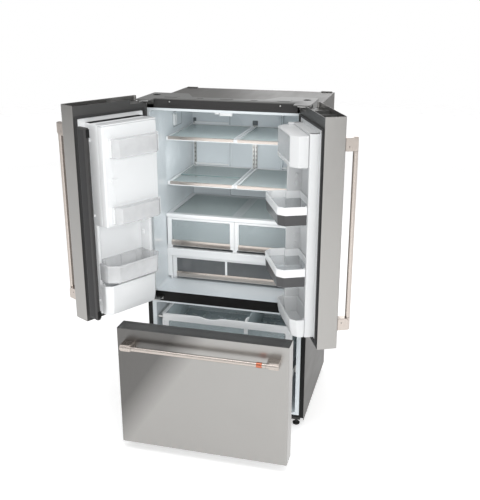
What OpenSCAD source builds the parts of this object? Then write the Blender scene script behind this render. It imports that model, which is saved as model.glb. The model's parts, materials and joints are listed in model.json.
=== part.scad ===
// French door refrigerator with a bottom freezer drawer.
// Drawn with both upper doors open and the freezer drawer part way out.
// Heights are above the floor. X runs across the case, Y from its front face to its back.

/* [Case] */
// Width of the case
case_w = 900; // [860:10:920]
// Depth of the case behind the doors
case_d = 738; // [700:1:760]
// Height of the top sheet
case_top = 1764; // [1740:1:1780]
// Height of the underside
case_base = 35; // [30:1:40]

/* [Upper doors] */
// Bottom edge of the doors
door_z0 = 714; // [710:1:720]
// Top edge of the doors
door_z1 = 1811; // [1805:1:1820]
// Front of a closed door, measured from the case
door_t = 108; // [100:1:115]
// Gap between the two doors
door_gap = 6; // [4:1:8]
// Opening angle of the left door
left_open = 119; // [0:1:124]
// Opening angle of the right door
right_open = 114.5; // [0:0.5:124]
// Hinge axis, inwards from the side of the case
hinge_in = 19; // [17:1:22]
// Hinge axis, forwards of the case
hinge_out = 43; // [42:1:45]

/* [Freezer drawer] */
// Bottom edge of the drawer front
drawer_z0 = 42; // [38:1:50]
// Top edge of the drawer front
drawer_z1 = 703; // [695:1:706]
// How far the drawer is pulled out
drawer_out = 335; // [300:1:400]

/* [Inside] */
// Height of the upper shelves
shelf_1_z = 1552; // [1535:1:1570]
// Height of the middle shelves
shelf_2_z = 1300; // [1285:1:1315]
// Front edge of the shelves, behind the case front
shelf_y0 = 215; // [205:1:230]
// Front face of the crispers and of the wide drawer
crisper_y0 = 190; // [185:1:200]

/* [Handles] */
// Radius of a handle bar
bar_r = 12; // [10:0.5:13]
// Door face to the axis of the bar
bar_off = 52; // [45:1:60]
// Length of an end block
block_len = 62; // [50:1:75]
// Width of an end block
block_w = 36; // [32:1:42]

/* [Hidden] */
$fn = 48;

half_w = case_w / 2;
sheet = 1.2;                    // steel sheet
plastic = 3;                    // moulded wall
gap = 0.3;                      // clearance between bodies
running = 0.05;                 // radial clearance of a turning pin

// front face of the case
flange_x = half_w - 26;         // outer edge of the white liner flanges
stile_x1 = half_w - sheet - 0.2;
header_y = 24;
header_z0 = case_top - 13;
header_z1 = case_top + 31;
header_x = half_w - 75;
mullion_z0 = 680;
mullion_z1 = 739;
mullion_y = 42;

// fresh food compartment
fresh_x = half_w - 52;
fresh_z0 = mullion_z1 + 3;
fresh_z1 = header_z0 - 13;
liner_y = 690;                  // rear wall of both compartments
liner_r = 18;
air_d = 22;                     // how far the air duct stands off the rear wall
track_d = 10;                   // depth of a shelf track

// freezer compartment
freezer_x = half_w - 49;
freezer_z0 = 82;
freezer_z1 = 672;
step_y = 470;                   // the rear lower corner leaves room for the machinery
step_z = 340;

// a door, in its own u, v, z: u inwards from the side of the case, v along Y
door_u1 = half_w - door_gap / 2;
wrap_v = -11;                   // rear edge of the door's steel
front_v = -door_t;
trough_z = door_z1 - 27;        // floor of the recess in the top cap
cap_h = 28;
seal_z0 = 737;
seal_z1 = case_top - 4;
seal_u0 = 18;
seal_u1 = door_u1 - 9;
seal_w = 12;
dyke_w = 22;
dyke_u0 = 55;                   // raised border of the inner liner
dyke_u1 = 384;
dyke_z0 = 752;
dyke_z1 = 1728;
hinge_dyke_v = 62;
edge_dyke_v = 36;
bin_v = 171;                    // front of the deep bins
bin_wall = 3;

// ice compartment on the left door
ice_z0 = 1222;
ice_z1 = 1722;
ice_v0 = 86;
ice_v1 = 125;
ice_corner = 8;                 // the ice door turns about the centre of its round edge
latch_u = 340;
latch_z = 1458;

// folding centre strip on the left door
flap_u = 423;
flap_v = 25;
flap_z0 = 748;
flap_z1 = 1718;

// dairy compartment on the right door
dairy_z0 = 1575;
dairy_z1 = 1720;
dairy_v = 117;
lid_pin_r = 3;

// handles
bar_u = 424;
bar_z0 = 802;
bar_z1 = 1719;
bar_z = 622;                    // height of the drawer's bar
bar_x = 409;
ring_x = 312;

// drawer hardware, from the liner inwards
slide_z = 330;
slide_h = 42;
slide_len = 440;

pin_r = 6;
foot_x = 405;
foot_y = 31;
roller_x = 395;
roller_y = 680;
roller_r = 22;

// the origin is under the middle of the whole object as drawn
function swing(p, a) = [p[0] * cos(a) + p[1] * sin(a), -p[0] * sin(a) + p[1] * cos(a)];
function reach(a) = half_w - hinge_in
    - swing([bar_u - hinge_in, front_v - bar_off + hinge_out], a)[0] + bar_r;
x_mid = (reach(right_open) - reach(left_open)) / 2;
y_front = front_v - bar_off - bar_r - drawer_out;
y_mid = (case_d + y_front) / 2;

// ---------- helpers ----------
module place() {
    translate([-x_mid, -y_mid, 0]) children();
}
module box(x0, x1, y0, y1, z0, z1) {
    translate([x0, y0, z0]) cube([x1 - x0, y1 - y0, z1 - z0]);
}
// a flat outline with round corners
module round_rect(x0, x1, y0, y1, r) {
    translate([x0 + r, y0]) square([x1 - x0 - 2 * r, y1 - y0]);
    translate([x0, y0 + r]) square([x1 - x0, y1 - y0 - 2 * r]);
    for (x = [x0 + r, x1 - r]) {
        for (y = [y0 + r, y1 - r]) translate([x, y]) circle(r);
    }
}
// a block whose corners are round seen from above
module pad(x0, x1, y0, y1, z0, z1, r) {
    translate([0, 0, z0]) linear_extrude(z1 - z0) round_rect(x0, x1, y0, y1, r);
}
// a block whose corners are round seen from the front
module front_pad(x0, x1, y0, y1, z0, z1, r) {
    translate([0, y1, 0]) rotate([90, 0, 0]) linear_extrude(y1 - y0) round_rect(x0, x1, z0, z1, r);
}
module both_sides() {
    children();
    mirror([1, 0, 0]) children();
}
// open tray with round corners
module tray(x0, x1, y0, y1, z0, z1, r, wall) {
    difference() {
        pad(x0, x1, y0, y1, z0, z1, r);
        pad(x0 + wall, x1 - wall, y0 + wall, y1 - wall, z0 + wall, z1 + 1, r - wall);
    }
}
// moves a door's parts from the closed door to where the door stands
module hang(angle) {
    place() translate([-half_w + hinge_in, -hinge_out, 0]) rotate([0, 0, -angle])
        translate([-hinge_in, hinge_out, 0]) children();
}
module hang_left() {
    hang(left_open) children();
}
module hang_right() {
    translate([-2 * x_mid, 0, 0]) mirror([1, 0, 0]) hang(right_open) children();
}
module pull(distance) {
    place() translate([0, -distance, 0]) children();
}

// ---------- cabinet ----------
module case_shell() color("#7c7a74") place() difference() {
    box(-half_w, half_w, 0, case_d - sheet, case_base, case_top);
    box(-half_w + sheet, half_w - sheet, -1, case_d, case_base - 1, case_top - sheet);
    box(-half_w + sheet, half_w - sheet, -1, header_y + gap, header_z0, case_top + 1);
}

module back_panel() color("#8d8b86") place() {
    box(-half_w + 1.5, half_w - 1.5, case_d - sheet, case_d, step_z - 8, case_top);
    // lips over the rear corners of the top
    both_sides() box(half_w - 76, half_w - 14, case_d - 24, case_d, case_top + 0.1, case_top + 5);
}

module face_frame() color("#1b1b1a") place() {
    both_sides() box(flange_x, stile_x1, 0, 20, case_base + 20, case_top - sheet - gap);
    box(-flange_x, flange_x, 0, 20, case_base + 20, freezer_z0 - 12.2);
}

module front_header() color("#4c4a49") place() difference() {
    box(-header_x, header_x, 0, header_y, header_z0, header_z1);
    for (x = [-288, 288]) {
        translate([x, -1, header_z1 - 11]) rotate([-90, 0, 0]) cylinder(r = 3, h = 10);
    }
}

module cover_outline(inset) {
    end_y = 205 - inset;
    mid_y = 76 - inset;
    edge = half_w - 4 - inset;
    polygon([[-edge, inset], [edge, inset], [edge, end_y], [250 + inset, end_y],
        [190 + inset, mid_y], [-190 - inset, mid_y], [-250 - inset, end_y], [-edge, end_y]]);
}
module top_cover() color("#d8d7d3") place() {
    lid_z = header_z1 + 6;
    tongue_x0 = half_w - 86;
    difference() {
        translate([0, 0, case_top + gap]) linear_extrude(lid_z - case_top - gap) cover_outline(0);
        translate([0, 0, case_top - 1]) linear_extrude(lid_z - case_top - 2) cover_outline(plastic);
        box(-half_w, half_w, -1, header_y + gap, case_top - 1, header_z1 + gap);
        both_sides() translate([half_w - 50, 118, lid_z - 9]) cylinder(r = 21, h = 10);
    }
    both_sides() pad(tongue_x0, half_w - 4, -66, 0, lid_z - 5, lid_z, 12);
    both_sides() pad(tongue_x0, half_w - 4, -30, 12, lid_z - 5, lid_z, 5);
}

module mullion_bar() color("#1a1a18") place() {
    box(-flange_x, flange_x, 0, mullion_y, mullion_z0 + gap, mullion_z1 - gap);
}

module fresh_liner() color("#f3f5f6") place() difference() {
    union() {
        front_pad(-fresh_x - plastic, fresh_x + plastic, 0, liner_y + plastic,
            fresh_z0 - plastic + 0.3, fresh_z1 + plastic, liner_r + plastic);
        box(-flange_x + gap, flange_x - gap, 0, plastic, mullion_z1, header_z0 - gap);
    }
    front_pad(-fresh_x, fresh_x, -1, liner_y, fresh_z0, fresh_z1, liner_r);
}

module freezer_liner() color("#e6e8ea") place() difference() {
    union() {
        front_pad(-freezer_x - plastic, freezer_x + plastic, 0, step_y + plastic,
            freezer_z0 - plastic, freezer_z1 + plastic, liner_r);
        front_pad(-freezer_x - plastic, freezer_x + plastic, 0, liner_y + plastic,
            step_z - plastic, freezer_z1 + plastic, liner_r);
        box(-flange_x + gap, flange_x - gap, 0, plastic, freezer_z0 - 12, mullion_z0);
    }
    front_pad(-freezer_x, freezer_x, -1, step_y, freezer_z0, freezer_z1, liner_r - plastic);
    front_pad(-freezer_x, freezer_x, -1, liner_y, step_z, freezer_z1, liner_r - plastic);
}

module air_tower() color("#e9edef") place() difference() {
    front_pad(-165, 165, liner_y - air_d, liner_y, 1120, 1690, 14);
    for (z = [1190, 1400, 1600]) {
        for (x = [-118, 118]) front_pad(x - 30, x + 30, liner_y - air_d - 8, liner_y - 12, z, z + 16, 7);
    }
}

module shelf_tracks() color("#b9bec1") place() {
    strip_z0 = 1187;
    strip_z1 = 1575;
    pitch = 25.4;
    for (x = [-fresh_x + 17, -7.5, 7.5, fresh_x - 17]) {
        back = abs(x) < 100 ? liner_y - air_d : liner_y;
        difference() {
            box(x - 7, x + 7, back - track_d, back, strip_z0, strip_z1);
            for (i = [0 : 14]) {
                slot_z = strip_z0 + 14 + i * pitch;
                box(x - 2, x + 2, back - track_d - 1, back - 2, slot_z, slot_z + 13);
            }
        }
    }
}

module top_hinge() {
    arm_z = header_z1 - 5;
    ax = -half_w + hinge_in;
    // plate on the case, riser, arm and pin
    box(-half_w + 8, -header_x - 4, header_y + 8, 170, case_top + gap, case_top + 5);
    box(-half_w + 8, -header_x - 4, header_y + 8, header_y + 14, case_top + 5, arm_z);
    pad(-half_w + 8, -header_x - 6, -hinge_out - 14, header_y + 14, arm_z, arm_z + 5, 8);
    translate([ax, -hinge_out, trough_z - 22]) cylinder(r = pin_r, h = arm_z - trough_z + 22);
}
module middle_hinge() {
    ax = -half_w + hinge_in;
    plate_z0 = door_z0 - 9;
    pad(-half_w + 8, -half_w + 92, -hinge_out - 14, -0.1, plate_z0, plate_z0 + 5, 6);
    box(-half_w + 30, -half_w + 92, -5, -0.1, plate_z0 - 11, plate_z0 + 5);
    translate([ax, -hinge_out, plate_z0 + 5]) cylinder(r = pin_r, h = 22);
}
module hinges() color("#b4b3af") place() both_sides() {
    top_hinge();
    middle_hinge();
}

// a glass pane inside a shelf frame
pane_h = 5;
shelf_back = liner_y - 36;
module pane(x0, x1, y0, y1, z) {
    box(x0 + 12, x1 - 12, y0 + 14, y1 - 8, z + 5, z + 5 + pane_h);
}
module shelf_frame(x0, x1, y0, y1, z, trim) {
    rail = 11.7;
    for (x = [x0, x1 - rail]) {
        difference() {
            box(x, x + rail, y0 + (trim ? 13.8 : 0), y1, z - 6, z + 12);
            box(x - 1, x + rail + 1, y0 + 160, y1 + 1, z - 7, z - 1);
        }
        // hook that reaches the track
        hook_y = (abs(x) < 60 ? liner_y - air_d : liner_y) - track_d - 0.1;
        box(x + rail / 2 - 1.8, x + rail / 2 + 1.8, y1 - 60, hook_y, z - 30, z - 1);
    }
    if (trim) front_pad(x0, x1, y0, y0 + 13.8, z - 8, z + 12, 4);
    box(x0 + rail, x1 - rail, y1 - 7.8, y1, z - 4, z + 12);
}
left_x0 = -fresh_x + 6;
left_x1 = -5;
tuck_y1 = 405;                  // rear edge of the sliding front pane
module shelf_glass() color([0.72, 0.82, 0.82, 0.6]) place() {
    pane(left_x0, left_x1, shelf_y0, shelf_back, shelf_1_z);
    pane(-left_x1, -left_x0, shelf_y0, shelf_back, shelf_1_z);
    pane(left_x0, left_x1, tuck_y1 - 14, shelf_back, shelf_2_z);
    pane(-left_x1, -left_x0, shelf_y0, shelf_back, shelf_2_z);
    box(-fresh_x + 30, fresh_x - 30, crisper_y0 + 32, shelf_back - 14, 1127, 1132);
}
module shelf_frames() color("#e3e4e2") place() {
    shelf_frame(left_x0, left_x1, shelf_y0, shelf_back, shelf_1_z, true);
    shelf_frame(-left_x1, -left_x0, shelf_y0, shelf_back, shelf_1_z, true);
    shelf_frame(left_x0, left_x1, shelf_y0, shelf_back, shelf_2_z, false);
    shelf_frame(-left_x1, -left_x0, shelf_y0, shelf_back, shelf_2_z, true);
}
// front half of the left middle shelf, which slides back under the rear half
module tuck_glass() color([0.72, 0.82, 0.82, 0.6]) place() {
    box(left_x0 + 12, left_x1 - 12, shelf_y0 + 14.2, tuck_y1, shelf_2_z - 1, shelf_2_z + 4);
}
module tuck_trim() color("#c9c5be") place() {
    front_pad(left_x0 + 12, left_x1 - 12, shelf_y0, shelf_y0 + 14, shelf_2_z - 9, shelf_2_z + 12, 4);
}

module crisper_cover() color("#f0f1f2") place() difference() {
    front_pad(-fresh_x + 1, fresh_x - 1, crisper_y0, shelf_back, 1111, 1132, 3);
    box(-fresh_x + 30, fresh_x - 30, crisper_y0 + 32, shelf_back - 14, 1127, 1140);
    for (x = [-1, 1]) {
        box(x * 198 - 170, x * 198 + 170, crisper_y0 + 44, shelf_back - 30, 1100, 1140);
    }
}

// shelf and side walls around the wide drawer
frame_z0 = 883;
frame_z1 = 929;
wide_x = 366;
module drawer_frame() color("#eef0f1") place() {
    difference() {
        front_pad(-fresh_x + 1, fresh_x - 1, crisper_y0 - 4, shelf_back, frame_z0, frame_z1, 4);
        box(-fresh_x + 24, fresh_x - 24, crisper_y0 + 20, shelf_back - 20, frame_z0 + 16, frame_z1 + 1);
    }
    both_sides() {
        box(wide_x + 3, fresh_x - 1, crisper_y0, shelf_back, wide_z0, frame_z0);
        box(wide_x + 3, wide_x + 12, crisper_y0, shelf_back, fresh_z0 + 1, wide_z0);
        box(wide_x - 16, wide_x + 3, crisper_y0 + 14, shelf_back, fresh_z0 + 1, wide_z0 + 1.7);
        // rails that carry the crispers
        box(fresh_x - 30, fresh_x - 1, crisper_y0 + 10, 600, frame_z1 - 2, crisper_z0 + 1.7);
    }
    box(-12, 12, crisper_y0 + 10, 640, frame_z1 - 20, crisper_z0 + 1.7);
}

// ---------- base and machinery ----------
fan_x = 150;
fan_y = 600;
fan_z = 190;
module chassis() color("#3a3a38") place() {
    difference() {
        union() {
            box(-half_w + 3, half_w - 3, 22, case_d - 4, case_base + 6, case_base + 9);
            both_sides() {
                box(half_w - 16, half_w - 4, 22, case_d - 4, case_base + 9, case_base + 29);
                box(foot_x - 24, foot_x + 24, foot_y - 20, foot_y + 24, case_base, case_base + 14);
                for (x = [roller_x - 18, roller_x + 14]) {
                    box(x, x + 4, roller_y - 16, roller_y + 16, roller_r - 12, case_base + 6.5);
                }
            }
            // fan bracket, motor and shaft
            box(fan_x + 46, fan_x + 50, fan_y - 26, fan_y + 26, case_base + 9, fan_z + 26);
            translate([fan_x + 24, fan_y, fan_z]) rotate([0, 90, 0]) cylinder(r = 22, h = 23);
            translate([fan_x + 4, fan_y, fan_z]) rotate([0, 90, 0]) cylinder(r = 3, h = 21);
        }
        both_sides() {
            box(roller_x - 13.9, roller_x + 13.9, roller_y - 26, roller_y + 26, case_base, case_base + 10);
            translate([foot_x, foot_y, case_base - 1]) cylinder(r = pin_r + running, h = 30);
            translate([roller_x - 30, roller_y, roller_r]) rotate([0, 90, 0])
                cylinder(r = 5 + running, h = 60);
        }
    }
}

module machine_cover() color("#2c2c2b") place() difference() {
    box(-half_w + 4, half_w - 4, case_d - sheet, case_d, case_base + 10, step_z - 10);
    for (i = [0 : 11]) {
        for (z = [110 : 34 : 280]) box(90 + i * 26, 100 + i * 26, case_d - 5, case_d + 1, z, z + 22);
    }
}

comp_x = -190;
comp_y = 605;
module compressor() color("#202020") place() {
    translate([comp_x, comp_y, case_base + 34]) {
        cylinder(r = 84, h = 112);
        translate([0, 0, 112]) intersection() {
            cylinder(r = 84, h = 60);
            translate([0, 0, -28]) sphere(r = 88.5);
        }
    }
    for (x = [-1, 1]) {
        for (y = [-1, 1]) {
            translate([comp_x + x * 88, comp_y + y * 55, case_base + 9]) cylinder(r = 14, h = 18);
        }
    }
    box(comp_x - 108, comp_x + 108, comp_y - 72, comp_y + 72, case_base + 27, case_base + 34);
}

module fan_blade() color("#4a4a4a") place() translate([fan_x, fan_y, fan_z]) rotate([0, 90, 0]) {
    difference() {
        cylinder(r = 18, h = 20);
        translate([0, 0, 3.8]) cylinder(r = 3 + running, h = 20);
    }
    for (a = [0 : 72 : 288]) {
        rotate([0, 0, a]) translate([16, -14, 2]) rotate([24, 0, 0]) cube([48, 28, 2]);
    }
}

module toe_grille() color("#161616") place() difference() {
    box(-flange_x + 6, flange_x - 6, 3, 19, case_base - 15, case_base + 19.7);
    for (i = [-13 : 13]) box(i * 24 - 8, i * 24 + 8, 2, 20, case_base - 6, case_base + 4);
    both_sides() box(foot_x - 26, flange_x, 2, 20, case_base - 16, case_base + 21);
}

module foot() {
    cylinder(r = 20, h = 8);
    translate([0, 0, 8]) cylinder(r = 12, h = 8, $fn = 6);
    cylinder(r = pin_r, h = case_base + 24);
}
module left_foot() color("#1c1c1c") place() translate([-foot_x, foot_y, 0]) foot();
module right_foot() color("#1c1c1c") place() translate([foot_x, foot_y, 0]) foot();

module rear_rollers() color("#2a2a2a") place() translate([0, roller_y, roller_r]) rotate([0, 90, 0]) {
    translate([0, 0, -roller_x - 22]) cylinder(r = 5, h = 2 * roller_x + 44);
    for (x = [-roller_x, roller_x]) translate([0, 0, x - 13]) cylinder(r = roller_r, h = 26);
}

// ---------- parts that both doors have ----------
module skin_wrap(z0, z1, u1) {
    difference() {
        pad(0, u1, front_v, wrap_v + 10, z0, z1, 7);
        pad(sheet, u1 - sheet, front_v + sheet, wrap_v + 12, z0 - 1, z1 + 1, 6);
        box(-1, u1 + 1, wrap_v, 20, z0 - 1, z1 + 1);
    }
}
module door_skin() difference() {
    skin_wrap(door_z0, door_z1, door_u1);
    box(-1, 60, front_v + 12, 20, trough_z, door_z1 + 1);
    box(-1, seal_u0 + 10, front_v + 12, 20, door_z0 - 1, door_z0 + 1);
}
module door_caps() {
    in0 = sheet + 0.1;
    in1 = door_u1 - sheet - 0.1;
    difference() {
        union() {
            pad(in0, in1, front_v + sheet + 0.1, wrap_v + 8, trough_z - cap_h, trough_z, 6);
            box(105, in1, wrap_v - 4, wrap_v, trough_z, door_z1 - 4);
            for (u = [180, 300, 400]) box(u, u + 3, front_v + sheet + 0.1, wrap_v, trough_z, door_z1 - 14);
            pad(in0, in1, front_v + sheet + 0.1, wrap_v + 8, door_z0, door_z0 + 20, 6);
        }
        box(-1, door_u1 + 1, wrap_v, 20, door_z0 - 1, door_z1);
        translate([hinge_in, -hinge_out, trough_z - 24]) cylinder(r = pin_r + running, h = 30);
        translate([hinge_in, -hinge_out, door_z0 - 1]) cylinder(r = pin_r + running, h = 19.5);
    }
}
module door_gasket() difference() {
    box(seal_u0, seal_u1, wrap_v, -gap, seal_z0, seal_z1);
    box(seal_u0 + seal_w, seal_u1 - seal_w, wrap_v - 1, 1, seal_z0 + seal_w, seal_z1 - seal_w);
}
// base plate and raised border
module liner_plate() {
    u0 = seal_u0 + seal_w + gap;
    u1 = seal_u1 - seal_w - gap;
    z0 = seal_z0 + seal_w + gap;
    z1 = seal_z1 - seal_w - gap;
    box(u0, u1, wrap_v - 2, wrap_v + plastic, z0, z1);
    box(dyke_u0, dyke_u0 + dyke_w, wrap_v, hinge_dyke_v, dyke_z0, dyke_z1);
    box(dyke_u1 - dyke_w, dyke_u1, wrap_v, edge_dyke_v, dyke_z0, dyke_z1);
    box(dyke_u0, dyke_u1, wrap_v, edge_dyke_v, dyke_z1 - 8, dyke_z1);
}
// a bin outline with its two front corners cut off
module bin_shape(u0, u1, v0, v1, cut) {
    polygon([[u0, v0], [u1, v0], [u1, v1 - cut], [u1 - cut, v1], [u0 + cut, v1], [u0, v1 - cut]]);
}
module bin(u0, u1, v0, v1, z0, z1, cut) {
    w = bin_wall;
    difference() {
        translate([0, 0, z0]) linear_extrude(z1 - z0) bin_shape(u0, u1, v0, v1, cut);
        translate([0, 0, z0 + w]) linear_extrude(z1 - z0)
            bin_shape(u0 + w, u1 - w, v0 + w, v1 - w, max(cut - w * 0.6, 0.4));
    }
}
bin_u0 = dyke_u0 + dyke_w + gap; // between the borders
bin_u1 = dyke_u1 - dyke_w - gap;
bin_v0 = wrap_v + plastic + gap;
// outline that sits between the borders at the back and over them at the front
module deep_outline(inset, u1, v1, cut) {
    bin_shape(bin_u0 + inset, bin_u1 - inset, bin_v0 + inset, v1 - cut, 0.4);
    bin_shape(dyke_u0 + 2 + inset, u1 - inset, hinge_dyke_v + gap + inset, v1 - inset, cut - 0.6 * inset);
    bin_shape(bin_u0 + inset, u1 - inset, edge_dyke_v + gap + inset, v1 - cut, 0.4);
}
module deep_bin(z, h, u1, v1, cut) difference() {
    translate([0, 0, z]) linear_extrude(h) deep_outline(0, u1, v1, cut);
    translate([0, 0, z + bin_wall]) linear_extrude(h) deep_outline(bin_wall, u1, v1, cut);
}
// lowest bin, which closes the border at the bottom
module floor_bin(top) {
    deep_bin(dyke_z0, top - dyke_z0, dyke_u1, 105, 28);
}
// a bar between two end blocks, standing on the face y = 0 towards -Y, along X from 0 to length
module handle(length) {
    difference() {
        for (x = [0, length - block_len]) {
            front_pad(x, x + block_len, -bar_off, 0, -block_w / 2, block_w / 2, 3);
        }
        translate([-1, -bar_off, 0]) rotate([0, 90, 0]) cylinder(r = bar_r, h = length + 2);
    }
    translate([0, -bar_off, 0]) rotate([0, 90, 0]) cylinder(r = bar_r, h = length);
}
module door_handle() {
    translate([bar_u, front_v, bar_z0]) rotate([0, -90, 0]) handle(bar_z1 - bar_z0);
}

// ---------- left door ----------
module left_skin() color("#c5c4c1") hang_left() door_skin();
module left_caps() color("#3b3a39") hang_left() door_caps();
module left_gasket() color("#2b2b2b") hang_left() door_gasket();
module left_handle() color("#b8a99b") hang_left() door_handle();

module left_liner() color("#f4f5f6") hang_left() difference() {
    union() {
        liner_plate();
        // walls of the ice compartment
        box(dyke_u0, dyke_u1, wrap_v, ice_v0 - gap, ice_z0, dyke_z1);
        // roof and ear that hold the ice door's pins
        pad(dyke_u0, dyke_u1, ice_v0 - 12, ice_v1 - 1, ice_z1 + gap, dyke_z1, 7);
        pad(dyke_u0, ice_pin_u + ice_corner, ice_v0 - 12, ice_v0 + 2 * ice_corner,
            ice_z0, ice_z0 + 5.5, 7);
        // lugs of the folding strip
        for (z = lug_z) {
            box(dyke_u1 - 5, flap_u, flap_v - 6, flap_v + 6, z, z + 12);
            translate([flap_u, flap_v, z]) cylinder(r = 7, h = 12);
        }
    }
    box(dyke_u0 + dyke_w, dyke_u1 - 16, wrap_v + plastic + 12, ice_v0 + 1, ice_z0 + 18, ice_z1 - 18);
    for (z = lug_z) translate([flap_u, flap_v, z - 1]) cylinder(r = 3 + running, h = 14);
    translate([ice_pin_u, ice_pin_v, ice_z0 - 1]) cylinder(r = 3 + running, h = 8);
    translate([ice_pin_u, ice_pin_v, ice_z1 - 1]) cylinder(r = 3 + running, h = 6.2);
}
lug_z = [820, 1270, 1640];
ice_pin_u = dyke_u0 + gap + ice_corner;
ice_pin_v = ice_v0 + ice_corner;

module left_bins() color("#e4e8ea") hang_left() {
    deep_bin(935, 93, dyke_u1, 150, 42);
    floor_bin(912);
}

module ice_door() color("#f6f7f7") hang_left() difference() {
    union() {
        pad(dyke_u0 + gap, dyke_u1, ice_v0, ice_v1, ice_z0 + 6, ice_z1, ice_corner);
        translate([ice_pin_u, ice_pin_v, ice_z0 + 1]) cylinder(r = 3, h = ice_z1 - ice_z0 + 3.8);
    }
    box(dyke_u0 + 40, dyke_u1 - 30, ice_v0 - 1, ice_v0 + 22, ice_z0 + 40, ice_z1 - 30);
    box(dyke_u1 - 6, dyke_u1 + 1, ice_v1 - 18, ice_v1 - 8, 1462, 1552);
    translate([latch_u, ice_v1 + 1, latch_z]) rotate([90, 0, 0]) cylinder(r = 4 + running, h = 12);
}
module ice_door_bins() color("#f2f3f4") hang_left() {
    bin(dyke_u0 + 4, 352, ice_v1 + 0.1, bin_v - 1, 1568, 1659, 38);
    bin(dyke_u0 + 4, 352, ice_v1 + 0.1, bin_v - 1, 1243, 1326, 38);
}
module ice_latch() color("#e9eaea") hang_left() {
    translate([latch_u, ice_v1, latch_z]) rotate([90, 0, 0]) cylinder(r = 4, h = 9);
    translate([latch_u, ice_v1 + 9, latch_z]) rotate([90, 0, 0]) cylinder(r = 9, h = 9 - gap);
    front_pad(latch_u - 30, latch_u + 8, ice_v1 + gap, ice_v1 + 6, latch_z - 6, latch_z + 6, 5);
}

module door_flap() color("#3d3c3b") hang_left() difference() {
    union() {
        pad(flap_u + 5, flap_u + 23, flap_v - 11, flap_v + 57, flap_z0, flap_z1, 3);
        translate([flap_u, flap_v, flap_z0 + 40]) cylinder(r = 5, h = flap_z1 - flap_z0 - 80);
        box(flap_u, flap_u + 6, flap_v - 4, flap_v + 4, flap_z0 + 40, flap_z1 - 40);
    }
    for (z = lug_z) difference() {
        translate([flap_u, flap_v, z - 0.5]) cylinder(r = 9, h = 13);
        translate([flap_u, flap_v, z - 2]) cylinder(r = 3, h = 16);
        box(flap_u + 5, flap_u + 30, 0, 100, z - 2, z + 16);
    }
    for (z = lug_z) box(flap_u + 4, flap_u + 7.6, flap_v - 12, flap_v + 12, z - 0.5, z + 12.5);
}

// ---------- right door ----------
module right_skin() color("#c5c4c1") hang_right() door_skin();
module right_caps() color("#3b3a39") hang_right() door_caps();
module right_gasket() color("#2b2b2b") hang_right() door_gasket();
module right_handle() color("#b8a99b") hang_right() door_handle();
module right_liner() color("#f4f5f6") hang_right() liner_plate();

bin_1_z = 1307;
bin_2_z = 1007;
bin_h = 90;
module right_bins() color("#f0f1f1") hang_right() {
    for (z = [bin_1_z, bin_2_z]) deep_bin(z, bin_h, dyke_u1 - 9, bin_v, 30);
    floor_bin(842);
}

module dairy_box() color("#f4f5f6") hang_right() difference() {
    translate([0, 0, dairy_z0]) linear_extrude(dairy_z1 - 1 - dairy_z0)
        deep_outline(0, dyke_u1 - 9, dairy_v, 34);
    // hollow and its mouth
    box(bin_u0 + 4, bin_u1 - 4, wrap_v + plastic + 4, dairy_v - 4, dairy_z0 + 12, dairy_z1 - 8);
    box(lid_u0 - 1, lid_u1 + 1, dairy_v - 10, dairy_v + 1, dairy_z0 + 12, dairy_z1 - 4);
    for (u = [lid_u0 - 4, lid_u1 - 4]) {
        translate([u, lid_v, lid_z]) rotate([0, 90, 0]) cylinder(r = lid_pin_r + running, h = 8);
    }
}
lid_u0 = dyke_u0 + 40;
lid_u1 = dyke_u1 - 50;
lid_v = dairy_v - 5;
lid_z = dairy_z1 - 9;
module dairy_lid() color([0.8, 0.85, 0.87, 0.7]) hang_right() {
    translate([lid_u0, lid_v, lid_z]) rotate([0, 90, 0]) cylinder(r = 4.5, h = lid_u1 - lid_u0);
    translate([lid_u0 - 3, lid_v, lid_z]) rotate([0, 90, 0]) cylinder(r = lid_pin_r, h = lid_u1 - lid_u0 + 6);
    box(lid_u0, lid_u1, lid_v + 0.5, lid_v + 4.5, dairy_z0 + 13, lid_z);
    front_pad((lid_u0 + lid_u1) / 2 - 40, (lid_u0 + lid_u1) / 2 + 40, lid_v + 4, lid_v + 12,
        dairy_z0 + 15, dairy_z0 + 24, 4);
}

// ---------- drawers in the fresh food compartment ----------
crisper_z0 = 946;
crisper_z1 = 1110;
post_w = 24;
trim_h = 32;
module crisper_bin(x0, x1) {
    tray(x0 + 3, x1 - 3, crisper_y0 + 8, 612, crisper_z0 + 2, crisper_z1 - 12, 12, plastic);
}
module crisper_front(x0, x1) {
    front_pad(x0, x0 + post_w, crisper_y0, crisper_y0 + 7.9, crisper_z0, crisper_z1 - 1, 3);
    front_pad(x1 - post_w, x1, crisper_y0, crisper_y0 + 7.9, crisper_z0, crisper_z1 - 1, 3);
    box(x0 + post_w - 3, x1 - post_w + 3, crisper_y0, crisper_y0 + 7.9, crisper_z0, crisper_z0 + trim_h);
    box(x0 + post_w - 3, x1 - post_w + 3, crisper_y0 + 2, crisper_y0 + 7.9, crisper_z1 - 12, crisper_z1 - 1);
}
crisper_x0 = -fresh_x + 14;
module left_crisper() color([0.75, 0.8, 0.82, 0.6]) place() crisper_bin(crisper_x0, -2);
module left_crisper_front() color("#e8e9e9") place() crisper_front(-fresh_x + 6, -1);
module right_crisper() color([0.75, 0.8, 0.82, 0.6]) place() crisper_bin(2, -crisper_x0);
module right_crisper_front() color("#e8e9e9") place() crisper_front(1, fresh_x - 6);

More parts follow.
